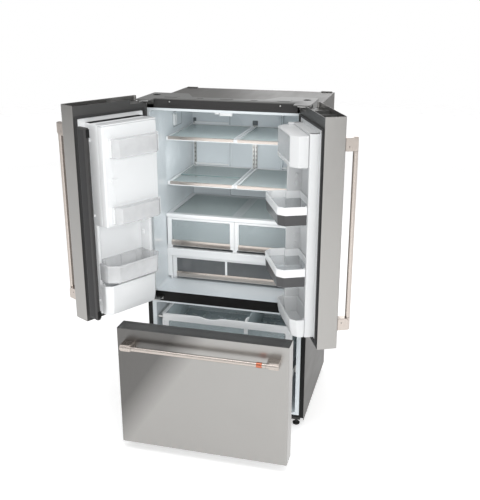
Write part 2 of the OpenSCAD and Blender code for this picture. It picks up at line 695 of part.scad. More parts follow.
wide_z0 = 758;
wide_z1 = 880;
module wide_drawer() color([0.4, 0.42, 0.44, 0.7]) place() {
    tray(-wide_x + 2, wide_x - 2, crisper_y0 + 8, 612, wide_z0 + 2, wide_z1 - 8, 12, plastic);
}
module wide_drawer_front() color("#e8e9e9") place() {
    for (x = [-wide_x, wide_x - post_w]) {
        front_pad(x, x + post_w, crisper_y0, crisper_y0 + 7.9, wide_z0, wide_z1, 3);
    }
    box(-wide_x + 21, wide_x - 21, crisper_y0, crisper_y0 + 7.9, wide_z0, wide_z0 + trim_h);
    box(-wide_x + 21, wide_x - 21, crisper_y0 + 2, crisper_y0 + 7.9, wide_z1 - 8, wide_z1);
    box(-55, -43, crisper_y0 + 2, crisper_y0 + 7.9, wide_z0 + trim_h, wide_z1 - 8);
}

// ---------- freezer drawer, drawn closed and pulled out ----------
drawer_x = half_w - 3;
drawer_seal_z0 = 77;
module freezer_skin() color("#c5c4c1") pull(drawer_out) translate([-drawer_x, 0, 0]) {
    skin_wrap(drawer_z0, drawer_z1, 2 * drawer_x);
}
module freezer_caps() color("#3b3a39") pull(drawer_out) {
    in_x = drawer_x - sheet - 0.1;
    difference() {
        union() {
            pad(-in_x, in_x, front_v + sheet + 0.1, wrap_v + 8, drawer_z1 - 22, drawer_z1 - 1, 6);
            pad(-in_x, in_x, front_v + sheet + 0.1, wrap_v + 8, drawer_z0, drawer_seal_z0 - 1, 6);
        }
        box(-half_w, half_w, wrap_v, 20, 0, drawer_z1 + 1);
    }
}
module freezer_gasket() color("#2b2b2b") pull(drawer_out) difference() {
    seal_x = drawer_x - 12;
    box(-seal_x, seal_x, wrap_v, -gap, drawer_seal_z0, drawer_z1 - 10);
    box(-seal_x + seal_w, seal_x - seal_w, wrap_v - 1, 1, drawer_seal_z0 + seal_w, drawer_z1 - 10 - seal_w);
}
panel_x = freezer_x - 18;
module freezer_panel() color("#eff0f1") pull(drawer_out) {
    plate_x = drawer_x - 12 - seal_w - gap;
    box(-plate_x, plate_x, wrap_v - 2, wrap_v + plastic, drawer_seal_z0 + seal_w + gap,
        drawer_z1 - 10 - seal_w - gap);
    front_pad(-panel_x, panel_x, wrap_v, 2, freezer_z0 + 26, freezer_z1 - 26, 10);
}
module freezer_handle() color("#b8a99b") pull(drawer_out) {
    translate([-bar_x, front_v, bar_z]) handle(2 * bar_x);
}
module handle_ring() color("#c4704f") pull(drawer_out) {
    translate([ring_x - 14, front_v - bar_off, bar_z]) rotate([0, 90, 0]) difference() {
        cylinder(r = bar_r + 2, h = 28);
        translate([0, 0, -1]) cylinder(r = bar_r + running, h = 30);
    }
}

basket_x = 364;
module lower_basket() color("#dfe2e4") pull(drawer_out) {
    tray(-basket_x, basket_x, 2.2, 455, freezer_z0 + 28, slide_z + 70, 24, plastic);
}
upper_x = 376;
upper_z0 = 440;
upper_z1 = 600;
module upper_basket() color("#eceeef") place() {
    tray(-upper_x + 8, upper_x - 8, 14, 454, upper_z0, upper_z1 - 14, 16, plastic);
    difference() {
        pad(-upper_x, upper_x, 6, 462, upper_z1 - 16, upper_z1, 20);
        pad(-upper_x + 14, upper_x - 14, 20, 448, upper_z1 - 17, upper_z1 + 1, 12);
        front_pad(-150, -30, 5, 21, upper_z1 - 10, upper_z1 + 8, 6);
    }
    box(112, 115, 17, 451, upper_z0 + 2, upper_z1 + 12);
}
module side_rail(inner, outer, y0, y1) {
    both_sides() box(inner, outer, y0, y1, slide_z, slide_z + slide_h);
}
module cabinet_slides() color("#a9acae") place() {
    both_sides() box(freezer_x - 9, freezer_x, 14, 14 + slide_len, slide_z, slide_z + slide_h);
    // ledges that carry the upper basket
    both_sides() box(upper_x - 7, freezer_x, 14, 14 + slide_len, upper_z1 - 28, upper_z1 - 16.3);
}
module middle_slides() color("#b7babc") place() translate([0, -drawer_out / 2, 0]) {
    side_rail(freezer_x - 18, freezer_x - 9.3, 14, 14 + slide_len);
}
module drawer_slides() color("#a9acae") pull(drawer_out) {
    side_rail(freezer_x - 27, freezer_x - 18.3, 2.1, 2.1 + slide_len);
    both_sides() box(basket_x + 0.1, freezer_x - 27, 30, 420, slide_z + 4, slide_z + 12);
}

case_shell();
back_panel();
face_frame();
front_header();
top_cover();
mullion_bar();
fresh_liner();
freezer_liner();
air_tower();
shelf_tracks();
hinges();
shelf_glass();
shelf_frames();
crisper_cover();
drawer_frame();
chassis();
machine_cover();
compressor();
toe_grille();
cabinet_slides();
tuck_glass();
tuck_trim();
fan_blade();
left_foot();
right_foot();
rear_rollers();
left_skin();
left_caps();
left_gasket();
left_liner();
left_handle();
left_bins();
ice_door();
ice_door_bins();
ice_latch();
door_flap();
right_skin();
right_caps();
right_gasket();
right_liner();
right_handle();
right_bins();
dairy_box();
dairy_lid();
left_crisper();
left_crisper_front();
right_crisper();
right_crisper_front();
wide_drawer();
wide_drawer_front();
freezer_skin();
freezer_caps();
freezer_gasket();
freezer_panel();
freezer_handle();
handle_ring();
lower_basket();
middle_slides();
drawer_slides();
upper_basket();
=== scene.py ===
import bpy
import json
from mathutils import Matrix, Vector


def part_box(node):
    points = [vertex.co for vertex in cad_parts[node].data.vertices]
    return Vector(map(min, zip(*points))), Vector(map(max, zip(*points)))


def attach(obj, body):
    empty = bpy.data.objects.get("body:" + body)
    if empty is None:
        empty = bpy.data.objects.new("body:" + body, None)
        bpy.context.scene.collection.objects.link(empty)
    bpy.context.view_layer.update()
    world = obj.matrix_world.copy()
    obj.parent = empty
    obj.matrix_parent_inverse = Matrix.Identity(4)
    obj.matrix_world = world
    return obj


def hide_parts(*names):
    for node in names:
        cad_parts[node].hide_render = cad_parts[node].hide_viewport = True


bl_info = {
    "name": "French Door Refrigerator",
    "version": (1, 0, 0),
    "blender": (4, 5, 0),
    "location": "View3D > Sidebar > Refrigerator",
    "description": "Finishes and details for a french door refrigerator",
    "category": "Object",
}
import json
import math

import bmesh
import bpy
from mathutils import Matrix, Vector

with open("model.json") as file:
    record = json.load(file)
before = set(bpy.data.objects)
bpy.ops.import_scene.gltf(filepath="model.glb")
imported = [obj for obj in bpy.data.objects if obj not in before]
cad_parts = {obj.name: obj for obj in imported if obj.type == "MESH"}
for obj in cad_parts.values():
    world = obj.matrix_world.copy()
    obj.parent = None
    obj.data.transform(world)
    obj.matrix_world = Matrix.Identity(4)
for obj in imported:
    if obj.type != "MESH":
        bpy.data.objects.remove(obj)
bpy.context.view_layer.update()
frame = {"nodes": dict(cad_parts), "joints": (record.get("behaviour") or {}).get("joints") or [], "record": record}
NODES = frame["nodes"]
JOINTS = {joint["name"]: joint for joint in frame["joints"]}
BODY_OF = {node: body for body, members in frame["record"]["behaviour"]["bodies"].items()
           for node in members}
SLOT_OF = {part["node"]: part["material_slot"] for part in frame["record"]["subparts"]}
MM = 0.001
IDENTITY = Matrix.Identity(4)

# ---------------------------------------------------------------- places
CASE_LOW, CASE_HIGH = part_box("case_shell")
MIDDLE_X = (CASE_LOW.x + CASE_HIGH.x) / 2
HALF_WIDTH = (CASE_HIGH.x - CASE_LOW.x) / 2 / MM
PULLED = -JOINTS["freezer_drawer_slide"]["range_m"][0] / MM


def case_place(pulled=0.0):
    """X across the case from its middle, Y backwards from its front face, Z up, in millimetres."""
    return Matrix.Translation((MIDDLE_X, CASE_LOW.y - pulled * MM, 0)) @ Matrix.Scale(MM, 4)


def door_place(joint, flipped):
    """u inwards from the side of the case, v along Y of the closed door, z up, in millimetres."""
    hinge = Vector(JOINTS[joint]["pos_m"])
    hinge.z = 0
    inward = HALF_WIDTH * MM - abs(hinge.x - MIDDLE_X)
    outward = CASE_LOW.y - hinge.y
    turn = Matrix.Rotation(math.radians(JOINTS[joint]["range_deg"][0]), 4, "Z")
    side = Matrix.Scale(-1, 4, (1, 0, 0)) if flipped else IDENTITY
    return (Matrix.Translation(hinge) @ side @ turn
            @ Matrix.Translation((-inward, outward, 0)) @ Matrix.Scale(MM, 4))


CASE = case_place()
DRAWER = case_place(PULLED)
LEFT = door_place("left_door_hinge", False)
RIGHT = door_place("right_door_hinge", True)


def local_box(node, place):
    """A node's box in the coordinates of a place."""
    inverse = place.inverted()
    points = [inverse @ vertex.co for vertex in NODES[node].data.vertices]
    low = [min(p[i] for p in points) for i in range(3)]
    high = [max(p[i] for p in points) for i in range(3)]
    return Vector(low), Vector(high)


# ---------------------------------------------------------------- outlines
def rectangle(x0, x1, y0, y1):
    return [(x0, y0), (x1, y0), (x1, y1), (x0, y1)]


def inset(outline, distance):
    """The same outline moved inwards, with as many points."""
    moved = []
    count = len(outline)
    for i in range(count):
        before, here, after = (Vector(outline[(i + k) % count]) for k in (-1, 0, 1))
        first, second = (here - before).normalized(), (after - here).normalized()
        left_1, left_2 = Vector((-first.y, first.x)), Vector((-second.y, second.x))
        middle = left_1 + left_2
        middle /= max(middle.length_squared / 2, 0.3)
        moved.append(tuple(here + middle * distance))
    return moved


def rounded(outline, radius, steps=4):
    """The outline with an arc at each corner; radius may be one number or one for each corner."""
    radii = radius if isinstance(radius, (list, tuple)) else [radius] * len(outline)
    points = []
    count = len(outline)
    for i in range(count):
        before, here, after = (Vector(outline[(i + k) % count]) for k in (-1, 0, 1))
        a, b = (before - here), (after - here)
        half = a.angle(b) / 2
        reach = min(radii[i] / max(math.tan(half), 0.05), a.length * 0.49, b.length * 0.49)
        start, end = here + a.normalized() * reach, here + b.normalized() * reach
        for k in range(steps + 1):
            t = k / steps
            points.append(tuple((1 - t) ** 2 * start + 2 * t * (1 - t) * here + t * t * end))
    return points


def circle(x, y, radius, count=24):
    return [(x + radius * math.cos(2 * math.pi * k / count),
             y + radius * math.sin(2 * math.pi * k / count)) for k in range(count)]


LAYS = {
    "x": lambda a, b, c: (c, a, b),
    "y": lambda a, b, c: (a, c, b),
    "z": lambda a, b, c: (a, b, c),
}


class Form:
    """Mesh code in the millimetres of one place. Outlines lie across the axis they are drawn along."""

    def __init__(self):
        self.mesh = bmesh.new()

    def loft(self, rings, closed=False, caps=True):
        rows = [[self.mesh.verts.new(point) for point in ring] for ring in rings]
        count = len(rows[0])
        pairs = list(zip(rows, rows[1:]))
        if closed:
            pairs.append((rows[-1], rows[0]))
        for lower, upper in pairs:
            for i in range(count):
                j = (i + 1) % count
                self.mesh.faces.new((lower[i], lower[j], upper[j], upper[i]))
        if caps and not closed:
            self.mesh.faces.new(list(reversed(rows[0])))
            self.mesh.faces.new(rows[-1])
        return self

    def prism(self, outline, low, high, along="z"):
        lay = LAYS[along]
        return self.loft([[lay(a, b, level) for a, b in outline] for level in (low, high)])

    def block(self, x0, x1, y0, y1, z0, z1):
        return self.prism(rectangle(x0, x1, y0, y1), z0, z1)

    def stack(self, layers, along="z", closed=False):
        """Outlines with their levels, one after another."""
        lay = LAYS[along]
        return self.loft([[lay(a, b, level) for a, b in outline] for outline, level in layers],
                         closed=closed)

    def tub(self, corners, radius, wall, low, high, draft=0.0, lip=0.0):
        """An open bin with a floor: walls that lean out by draft and a lip rolled at the rim."""
        def ring(distance):
            return rounded(inset(corners, distance), max(radius - distance, 0.6))
        layers = [
            (ring(draft + 2.5), low), (ring(draft), low + 2.5),
            (ring(lip), high - 4 if lip else high - 0.8),
            (ring(0), high - 3 if lip else high - 0.4), (ring(0.5), high),
            (ring(wall + lip - 0.5), high), (ring(wall + lip), high - 0.8),
            (ring(wall + draft), low + wall + 3), (ring(wall + draft + 3), low + wall),
        ]
        return self.stack(layers)

    def band(self, outer, inner, low, high, along="z"):
        """A closed band between two outlines with as many points."""
        return self.stack([(outer, low), (outer, high), (inner, high), (inner, low)],
                          along=along, closed=True)

    def edging(self, outline, section, along="y"):
        """A strip that follows an outline; the section is pairs of inset and level."""
        return self.stack([(inset(outline, d), level) for d, level in section],
                          along=along, closed=True)

    def rod(self, start, end, radius, count=20, ends=0.0):
        """A round bar with softened ends."""
        start, end = Vector(start), Vector(end)
        axis = (end - start).normalized()
        side = axis.orthogonal().normalized()
        other = axis.cross(side)
        length = (end - start).length
        stations = [(0, radius - ends), (ends * 0.6, radius), (length - ends * 0.6, radius),
                    (length, radius - ends)] if ends else [(0, radius), (length, radius)]
        rings = []
        for station, r in stations:
            centre = start + axis * station
            rings.append([centre + (side * math.cos(a) + other * math.sin(a)) * r
                          for a in (2 * math.pi * k / count for k in range(count))])
        return self.loft(rings)

    def dome(self, centre, axis, radius, height, count=16):
        """A low round head, as on a screw."""
        centre, axis = Vector(centre), Vector(axis).normalized()
        side = axis.orthogonal().normalized()
        other = axis.cross(side)
        rings = []
        for r, h in ((1, 0), (1, 0.45), (0.86, 0.8), (0.55, 1)):
            rings.append([centre + axis * height * h
                          + (side * math.cos(a) + other * math.sin(a)) * radius * r
                          for a in (2 * math.pi * k / count for k in range(count))])
        return self.loft(rings)


def painted_shade_tone(finish, body):
    """Painted shade: the whites of the right door are a shade greyer, standing in for the dimmer light on that
    door.
    """
    return FINISH.get("right_" + finish.name, finish) if body in ("right_door", "dairy_lid") else finish


def finish_piece(name, mesh, place, body, finish, bevel=0.0, segments=2, replaces=()):
    """Sets a mesh down in the row frame and hands it to its body."""
    bmesh.ops.remove_doubles(mesh, verts=mesh.verts, dist=0.001 if place is not IDENTITY else 1e-6)
    if place is not IDENTITY:
        bmesh.ops.recalc_face_normals(mesh, faces=mesh.faces)
    mesh.transform(place)
    if place.determinant() < 0:
        bmesh.ops.reverse_faces(mesh, faces=mesh.faces)
    data = bpy.data.meshes.new(name)
    mesh.to_mesh(data)
    mesh.free()
    data.shade_smooth()
    data.set_sharp_from_angle(angle=math.radians(32))
    data.materials.append(painted_shade_tone(finish, body))
    piece = bpy.data.objects.new(name, data)
    bpy.context.scene.collection.objects.link(piece)
    if bevel:
        soft = piece.modifiers.new("soft_edges", "BEVEL")
        soft.width = bevel * MM
        soft.segments = segments
        soft.limit_method = "ANGLE"
        soft.angle_limit = math.radians(32)
        soft.harden_normals = True
        soft.miter_outer = "MITER_ARC"
    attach(piece, body)
    if replaces:
        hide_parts(*replaces)
    return piece


def edged(node, finish, bevel, name=None, segments=2):
    """A node's own shape with its edges softened, in place of the node."""
    mesh = bmesh.new()
    mesh.from_mesh(NODES[node].data)
    bmesh.ops.remove_doubles(mesh, verts=mesh.verts, dist=1e-6)
    bmesh.ops.dissolve_limit(mesh, angle_limit=math.radians(0.6), verts=mesh.verts,
                             edges=mesh.edges)
    return finish_piece(name or node + "_edged", mesh, IDENTITY, BODY_OF[node],
                        finish, bevel, segments, (node,))


def repeated(name, form, place, body, finish, count, step):
    """A shape repeated along a line by a node tree, as one plain mesh."""
    tree = bpy.data.node_groups.get("repeat_along_line") or repeat_tree()
    mesh = bpy.data.meshes.new(name)
    bmesh.ops.recalc_face_normals(form.mesh, faces=form.mesh.faces)
    form.mesh.to_mesh(mesh)
    form.mesh.free()
    source = bpy.data.objects.new(name, mesh)
    bpy.context.scene.collection.objects.link(source)
    modifier = source.modifiers.new("repeat", "NODES")
    modifier.node_group = tree
    sockets = {item.name: item.identifier for item in tree.interface.items_tree
               if item.item_type == "SOCKET" and item.in_out == "INPUT"}
    modifier[sockets["Count"]] = count
    modifier[sockets["Step"]] = step
    modifier[sockets["Finish"]] = finish
    bpy.context.view_layer.update()
    graph = bpy.context.evaluated_depsgraph_get()
    result = bpy.data.meshes.new_from_object(source.evaluated_get(graph))
    source.modifiers.clear()
    bpy.data.objects.remove(source)
    plain = bmesh.new()
    plain.from_mesh(result)
    bpy.data.meshes.remove(result)
    return finish_piece(name, plain, place, body, finish)


def repeat_tree():
    """Node tree: the object's own mesh on each point of a line."""
    tree = bpy.data.node_groups.new("repeat_along_line", "GeometryNodeTree")
    face = tree.interface
    face.new_socket("Geometry", in_out="INPUT", socket_type="NodeSocketGeometry")
    face.new_socket("Count", in_out="INPUT", socket_type="NodeSocketInt")
    face.new_socket("Step", in_out="INPUT", socket_type="NodeSocketVector")
    face.new_socket("Finish", in_out="INPUT", socket_type="NodeSocketMaterial")
    face.new_socket("Geometry", in_out="OUTPUT", socket_type="NodeSocketGeometry")
    add, link = tree.nodes.new, tree.links.new
    source, target = add("NodeGroupInput"), add("NodeGroupOutput")
    line, place = add("GeometryNodeMeshLine"), add("GeometryNodeInstanceOnPoints")
    real, paint = add("GeometryNodeRealizeInstances"), add("GeometryNodeSetMaterial")
    link(source.outputs["Count"], line.inputs["Count"])
    link(source.outputs["Step"], line.inputs["Offset"])
    link(line.outputs["Mesh"], place.inputs["Points"])
    link(source.outputs["Geometry"], place.inputs["Instance"])
    link(place.outputs["Instances"], real.inputs["Geometry"])
    link(real.outputs["Geometry"], paint.inputs["Geometry"])
    link(source.outputs["Finish"], paint.inputs["Material"])
    link(paint.outputs["Geometry"], target.inputs["Geometry"])
    return tree


# ---------------------------------------------------------------- materials
class Signal:
    """A number on its way through a material, with the usual operators."""

    def __init__(self, recipe, socket):
        self.recipe, self.socket = recipe, socket

    def maths(self, operation, first, second):
        node = self.recipe.node("ShaderNodeMath", {"operation": operation}, {0: first, 1: second})
        return Signal(self.recipe, node.outputs[0])

    def __add__(self, other):
        return self.maths("ADD", self, other)

    def __sub__(self, other):
        return self.maths("SUBTRACT", self, other)

    def __mul__(self, other):
        return self.maths("MULTIPLY", self, other)

    def __rsub__(self, other):
        return self.maths("SUBTRACT", other, self)

    def __pow__(self, other):
        return self.maths("POWER", self, other)

    __radd__ = __add__
    __rmul__ = __mul__


class Recipe:
    """A material being made around one Principled shader."""

    def __init__(self, name, **constants):
        self.material = bpy.data.materials.new(name)
        self.material.use_nodes = True
        self.tree = self.material.node_tree
        self.shader = self.tree.nodes["Principled BSDF"]
        self.sources = {}
        for key, value in constants.items():
            self.shader.inputs[key.replace("_", " ")].default_value = value

    def node(self, kind, settings=None, values=None):
        node = self.tree.nodes.new(kind)
        for key, value in (settings or {}).items():
            if key == "stops":
                ramp = node.color_ramp.elements
                ramp[0].position, ramp[1].position = value[0], value[1]
            else:
                setattr(node, key, value)
        for key, value in (values or {}).items():
            if isinstance(value, Signal):
                self.tree.links.new(value.socket, node.inputs[key])
            else:
                node.inputs[key].default_value = value
        return node

    def place(self, scale):
        if scale not in self.sources:
            origin = self.node("ShaderNodeTexCoord")
            mapped = self.node("ShaderNodeMapping", None,
                               {"Vector": Signal(self, origin.outputs["Object"]), "Scale": scale})
            self.sources[scale] = Signal(self, mapped.outputs["Vector"])
        return self.sources[scale]

    def noise(self, size, detail=2.0, stretch=(1, 1, 1)):
        """Noise whose features are about so many millimetres across."""
        node = self.node("ShaderNodeTexNoise", None, {
            "Vector": self.place(stretch), "Scale": 1 / (size * MM), "Detail": detail})
        return Signal(self, node.outputs[0])

    def between(self, low, high, factor):
        node = self.node("ShaderNodeMix", {"data_type": "RGBA"},
                         {"Factor": factor, 6: (*low, 1), 7: (*high, 1)})
        return Signal(self, node.outputs[2])

    def feed(self, socket, signal):
        self.tree.links.new(signal.socket, self.shader.inputs[socket])

    def bump(self, height, distance, strength=1.0):
        node = self.node("ShaderNodeBump", None, {
            "Height": height, "Distance": distance * MM, "Strength": strength})
        self.feed("Normal", Signal(self, node.outputs["Normal"]))

    def fresnel(self, ior=1.45):
        node = self.node("ShaderNodeFresnel", None, {"IOR": ior})
        return Signal(self, node.outputs[0])


def shade(colour, factor):
    return tuple(min(channel * factor, 1.0) for channel in colour[:3])


def brushed(name, colour, roughness, along=2, line=0.35, depth=0.006, cloud=220, painted_reflection=0.0):
    """Metal brushed along one axis: fine lines, soft clouds in the gloss, and optionally a dark corner painted
    into the colour, a painted reflection of something dark.
    """
    stretch = tuple(0.012 if i == along else 1.0 for i in range(3))
    recipe = Recipe(name, Metallic=1.0)
    lines = recipe.noise(line, 3.0, stretch)
    clouds = recipe.noise(cloud, 2.0)
    if painted_reflection:
        # painted reflection: 0 on the lit side of a slanting line, 1 on the dark side, where a dark reflection is
        # painted into the base colour
        split = recipe.node("ShaderNodeSeparateXYZ", None, {"Vector": recipe.place((1, 1, 1))})
        across, up = Signal(recipe, split.outputs["X"]), Signal(recipe, split.outputs["Z"])
        painted_reflection_zone = (up * 0.76 - across * 1.11 - 0.47) * 5.0
        painted_reflection_zone = painted_reflection_zone.maths("MINIMUM", painted_reflection_zone.maths("MAXIMUM", painted_reflection_zone, 0.0), 1.0)
        light = (lines * 0.7 + clouds * 0.3) * 0.2 + 0.8 - painted_reflection_zone * painted_reflection
        recipe.feed("Base Color", recipe.between(shade(colour, 0.35), shade(colour, 1.06), light))
    else:
        recipe.feed("Base Color", recipe.between(shade(colour, 0.93), shade(colour, 1.06),
                                                 lines * 0.7 + clouds * 0.3))
    recipe.feed("Roughness", lines * 0.10 + clouds * 0.05 + (roughness - 0.075))
    recipe.bump(lines, depth)
    return recipe.material


def moulded(name, colour, roughness=0.35, grain=0.9, depth=0.02, coat=0.0, uneven=0.03,
            subtle=160, ior=1.5):
    """Moulded plastic: a fine skin texture, faint flow clouds and a slightly uneven gloss."""
    recipe = Recipe(name, Coat_Weight=coat, Coat_Roughness=0.12, IOR=ior)
    skin = recipe.noise(grain, 2.0)
    clouds = recipe.noise(subtle, 3.0)
    recipe.feed("Base Color", recipe.between(shade(colour, 1 - uneven), shade(colour, 1 + uneven),
                                             clouds))
    recipe.feed("Roughness", skin * 0.08 + clouds * 0.06 + (roughness - 0.07))
    recipe.bump(skin, depth)
    return recipe.material


def painted(name, colour, roughness=0.42):
    """Baked paint over steel: orange-peel skin, speckle and faint rub marks."""
    recipe = Recipe(name, Metallic=0.1, IOR=1.35, Coat_Weight=0.03, Coat_Roughness=0.3)
    peel = recipe.noise(1.6, 2.0)
    speckle = recipe.noise(0.5, 1.0)
    rubs = recipe.noise(60, 3.0, (1, 0.25, 1))
    recipe.feed("Base Color", recipe.between(shade(colour, 0.9), shade(colour, 1.08),
                                             speckle * 0.45 + rubs * 0.55))
    recipe.feed("Roughness", rubs * 0.14 + peel * 0.06 + (roughness - 0.1))
    recipe.bump(peel, 0.035)
    return recipe.material


def see_through(name, colour, cover, roughness=0.06, gloss=0.8, swirl=40, depth=0.01, ior=1.5):
    """Clear plastic or glass: shows what is behind it, and more gloss at a low angle."""
    recipe = Recipe(name, Roughness=roughness, IOR=ior)
    waves = recipe.noise(swirl, 2.0)
    recipe.feed("Base Color", recipe.between(shade(colour, 0.95), shade(colour, 1.04), waves))
    recipe.feed("Roughness", waves * 0.03 + roughness)
    recipe.feed("Alpha", recipe.fresnel(1.4) * gloss + (waves * 0.04 + cover))
    recipe.bump(waves, depth)
    return recipe.material


def rubber(name, colour):
    """Soft seal rubber with a dull bloom."""
    recipe = Recipe(name, IOR=1.4)
    bloom = recipe.noise(18, 3.0)
    pores = recipe.noise(0.6, 2.0)
    recipe.feed("Base Color", recipe.between(shade(colour, 0.85), shade(colour, 1.25), bloom))
    recipe.feed("Roughness", bloom * 0.15 + 0.52)
    recipe.bump(pores, 0.03)
    return recipe.material


def plated(name, colour):
    """Zinc plate: small spangles and a soft gloss."""
    recipe = Recipe(name, Metallic=1.0)
    cells = recipe.node("ShaderNodeTexVoronoi", None, {
        "Vector": recipe.place((1, 1, 1)), "Scale": 1 / (7 * MM)})
    spangle = Signal(recipe, cells.outputs["Distance"])
    haze = recipe.noise(30, 3.0)
    recipe.feed("Base Color", recipe.between(shade(colour, 0.88), shade(colour, 1.08), spangle))
    recipe.feed("Roughness", haze * 0.16 + 0.24)
    recipe.bump(haze, 0.02)
    return recipe.material


# ---------------------------------------------------------------- what a user may change
class FridgeColours(bpy.types.PropertyGroup):
    """Colours of the finishes"""

    steel: bpy.props.FloatVectorProperty(
        name="Door steel", description="Brushed steel of the doors", subtype="COLOR",
        default=(0.39, 0.382, 0.37), min=0, max=1)
    warm: bpy.props.FloatVectorProperty(
        name="Handles and shelf strips", description="Warm satin metal", subtype="COLOR",
        default=(0.55, 0.495, 0.455), min=0, max=1)
    copper: bpy.props.FloatVectorProperty(
        name="Handle ring", description="Copper coloured ring on the drawer's handle",
        subtype="COLOR", default=(0.56, 0.19, 0.115), min=0, max=1)
    case: bpy.props.FloatVectorProperty(
        name="Case", description="Grey paint of the case", subtype="COLOR",
        default=(0.085, 0.081, 0.076), min=0, max=1)
    liner: bpy.props.FloatVectorProperty(
        name="Liner", description="White plastic inside the compartments", subtype="COLOR",
        default=(0.74, 0.79, 0.82), min=0, max=1)
    door_white: bpy.props.FloatVectorProperty(
        name="Door liner", description="White plastic inside the doors", subtype="COLOR",
        default=(0.86, 0.875, 0.885), min=0, max=1)
    dark: bpy.props.FloatVectorProperty(
        name="Door caps", description="Dark grey plastic", subtype="COLOR",
        default=(0.058, 0.058, 0.057), min=0, max=1)
    smoked: bpy.props.FloatVectorProperty(
        name="Smoked plastic", description="Grey clear plastic", subtype="COLOR",
        default=(0.16, 0.168, 0.175), min=0, max=1)
    cover: bpy.props.FloatVectorProperty(
        name="Top cover", description="Light grey plastic", subtype="COLOR",
        default=(0.13, 0.13, 0.127), min=0, max=1)


class FridgeSizes(bpy.types.PropertyGroup):
    """Sizes of the details, in millimetres"""

    bin_wall: bpy.props.FloatProperty(
        name="Bin wall", description="Wall of the door bins", default=3.0, min=2, max=4)
    rim: bpy.props.FloatProperty(
        name="Bin rim", description="Height of the white rim on the deep bins",
        default=38.0, min=10, max=60)
    strip: bpy.props.FloatProperty(
        name="Shelf strip", description="Height of the metal strip on the shelves",
        default=17.0, min=8, max=20)
    screw: bpy.props.FloatProperty(
        name="Screw head", description="Radius of a screw head", default=4.2, min=2, max=6)


FINISH = {}


def make_finishes(colours):
    """All the materials, by name."""
    steel, warm = tuple(colours.steel), tuple(colours.warm)
    liner, white = tuple(colours.liner), tuple(colours.door_white)
    dark = tuple(colours.dark)
    FINISH.update({
        "steel": brushed("door_steel", steel, 0.30),
        # painted reflection: the drawer's steel has a dark corner painted into its colour
        "front": brushed("drawer_steel", steel, 0.30, painted_reflection=0.85),
        "warm_z": brushed("handle_metal_upright", warm, 0.27),
        "warm_x": brushed("handle_metal_level", warm, 0.27, along=0),
        "copper": brushed("copper_ring", tuple(colours.copper), 0.25, along=0),
        "case": painted("case_paint", tuple(colours.case)),
        "header": painted("header_paint", (0.036, 0.035, 0.035), 0.5),
        "chassis": painted("chassis_paint", (0.04, 0.04, 0.038), 0.5),
        "liner": moulded("compartment_white", liner, 0.26, 1.2, 0.02, 0.25, 0.025),
        "freezer": moulded("freezer_white", shade(liner, 0.94), 0.3, 1.2, 0.02, 0.2),
        "white": moulded("door_white", white, 0.24, 1.2, 0.02, 0.3, 0.02),
        "frame": moulded("white_frame", shade(white, 0.97), 0.3, 0.9, 0.025, 0.15),
        # painted shade: greyer copies of the door whites for the right door, standing in for its dimmer light
        "right_door_white": moulded("right_door_white", shade(white, 0.80), 0.36, 1.2, 0.02, 0.0, 0.02),
        "right_white_frame": moulded("right_white_frame", shade(white, 0.72), 0.38, 0.9, 0.025),
        "bin": see_through("clear_bin", (0.93, 0.94, 0.95), 0.30, 0.1, 0.5),
        "tint": see_through("tinted_bin", (0.86, 0.89, 0.91), 0.2, 0.1, 0.5),
        "bin_front": moulded("smoked_bin_front", (0.045, 0.046, 0.048), 0.3, 1.4, 0.01, 0.2, 0.06),
        "crisper": see_through("crisper_plastic", (0.64, 0.72, 0.74), 0.26, 0.08, 0.9),
        "pane": see_through("shelf_pane", (0.74, 0.82, 0.82), 0.08, 0.03, 0.8, 120, 0.004),
        "pane_edge": see_through("pane_edge", (0.22, 0.36, 0.35), 0.62, 0.08, 0.6),
        "smoked": see_through("smoked_plastic", tuple(colours.smoked), 0.72, 0.1, 0.6),
        "cap": moulded("door_cap_grey", dark, 0.42, 0.7, 0.05, 0.0, 0.1),
        "flap": moulded("folding_strip", (0.034, 0.033, 0.033), 0.45, 0.7, 0.05, 0.0, 0.1),
        "black": moulded("black_trim", (0.008, 0.008, 0.008), 0.45, 0.8, 0.03, 0.0, 0.12, ior=1.3),
        "cover": moulded("top_cover_grey", tuple(colours.cover), 0.4, 0.8, 0.04, 0.0, 0.06),
        # dark joints and set screws, and painted shade in the track slots
        "gap": moulded("dark_gap", (0.02, 0.021, 0.022), 0.6, 2.0, 0.02),
        # painted shade: a grey for places where only shade falls, the gaps round the duct cover and port, and the
        # track heads
        "shadow": moulded("grey_slot", (0.13, 0.15, 0.16), 0.5, 2.0, 0.02),
        "foot": moulded("foot_black", (0.015, 0.015, 0.015), 0.5, 1.0, 0.05, 0.0, 0.2),
        "gasket": rubber("seal_rubber", (0.035, 0.035, 0.036)),
        "zinc": plated("zinc_plate", (0.5, 0.5, 0.49)),
    })


NODE_FINISH = {
    "case": "case", "rear_sheet": "case", "black_trim": "black", "header": "header",
    "cover": "cover", "liner": "liner", "freezer_liner": "freezer", "zinc": "zinc",
    "shelf_glass": "pane", "shelf_trim": "frame", "white_frame": "frame", "chassis": "chassis",
    "dark_board": "black", "compressor": "chassis", "foot": "foot", "roller": "foot",
    "stainless": "steel", "cap": "cap", "gasket": "gasket", "door_liner": "white",
    "handle": "warm_z", "bin": "bin", "clear": "crisper", "smoked": "smoked", "flap": "flap",
    "drawer_trim": "frame", "copper": "copper", "basket": "frame",
}


def sizes():
    return bpy.context.scene.fridge_sizes


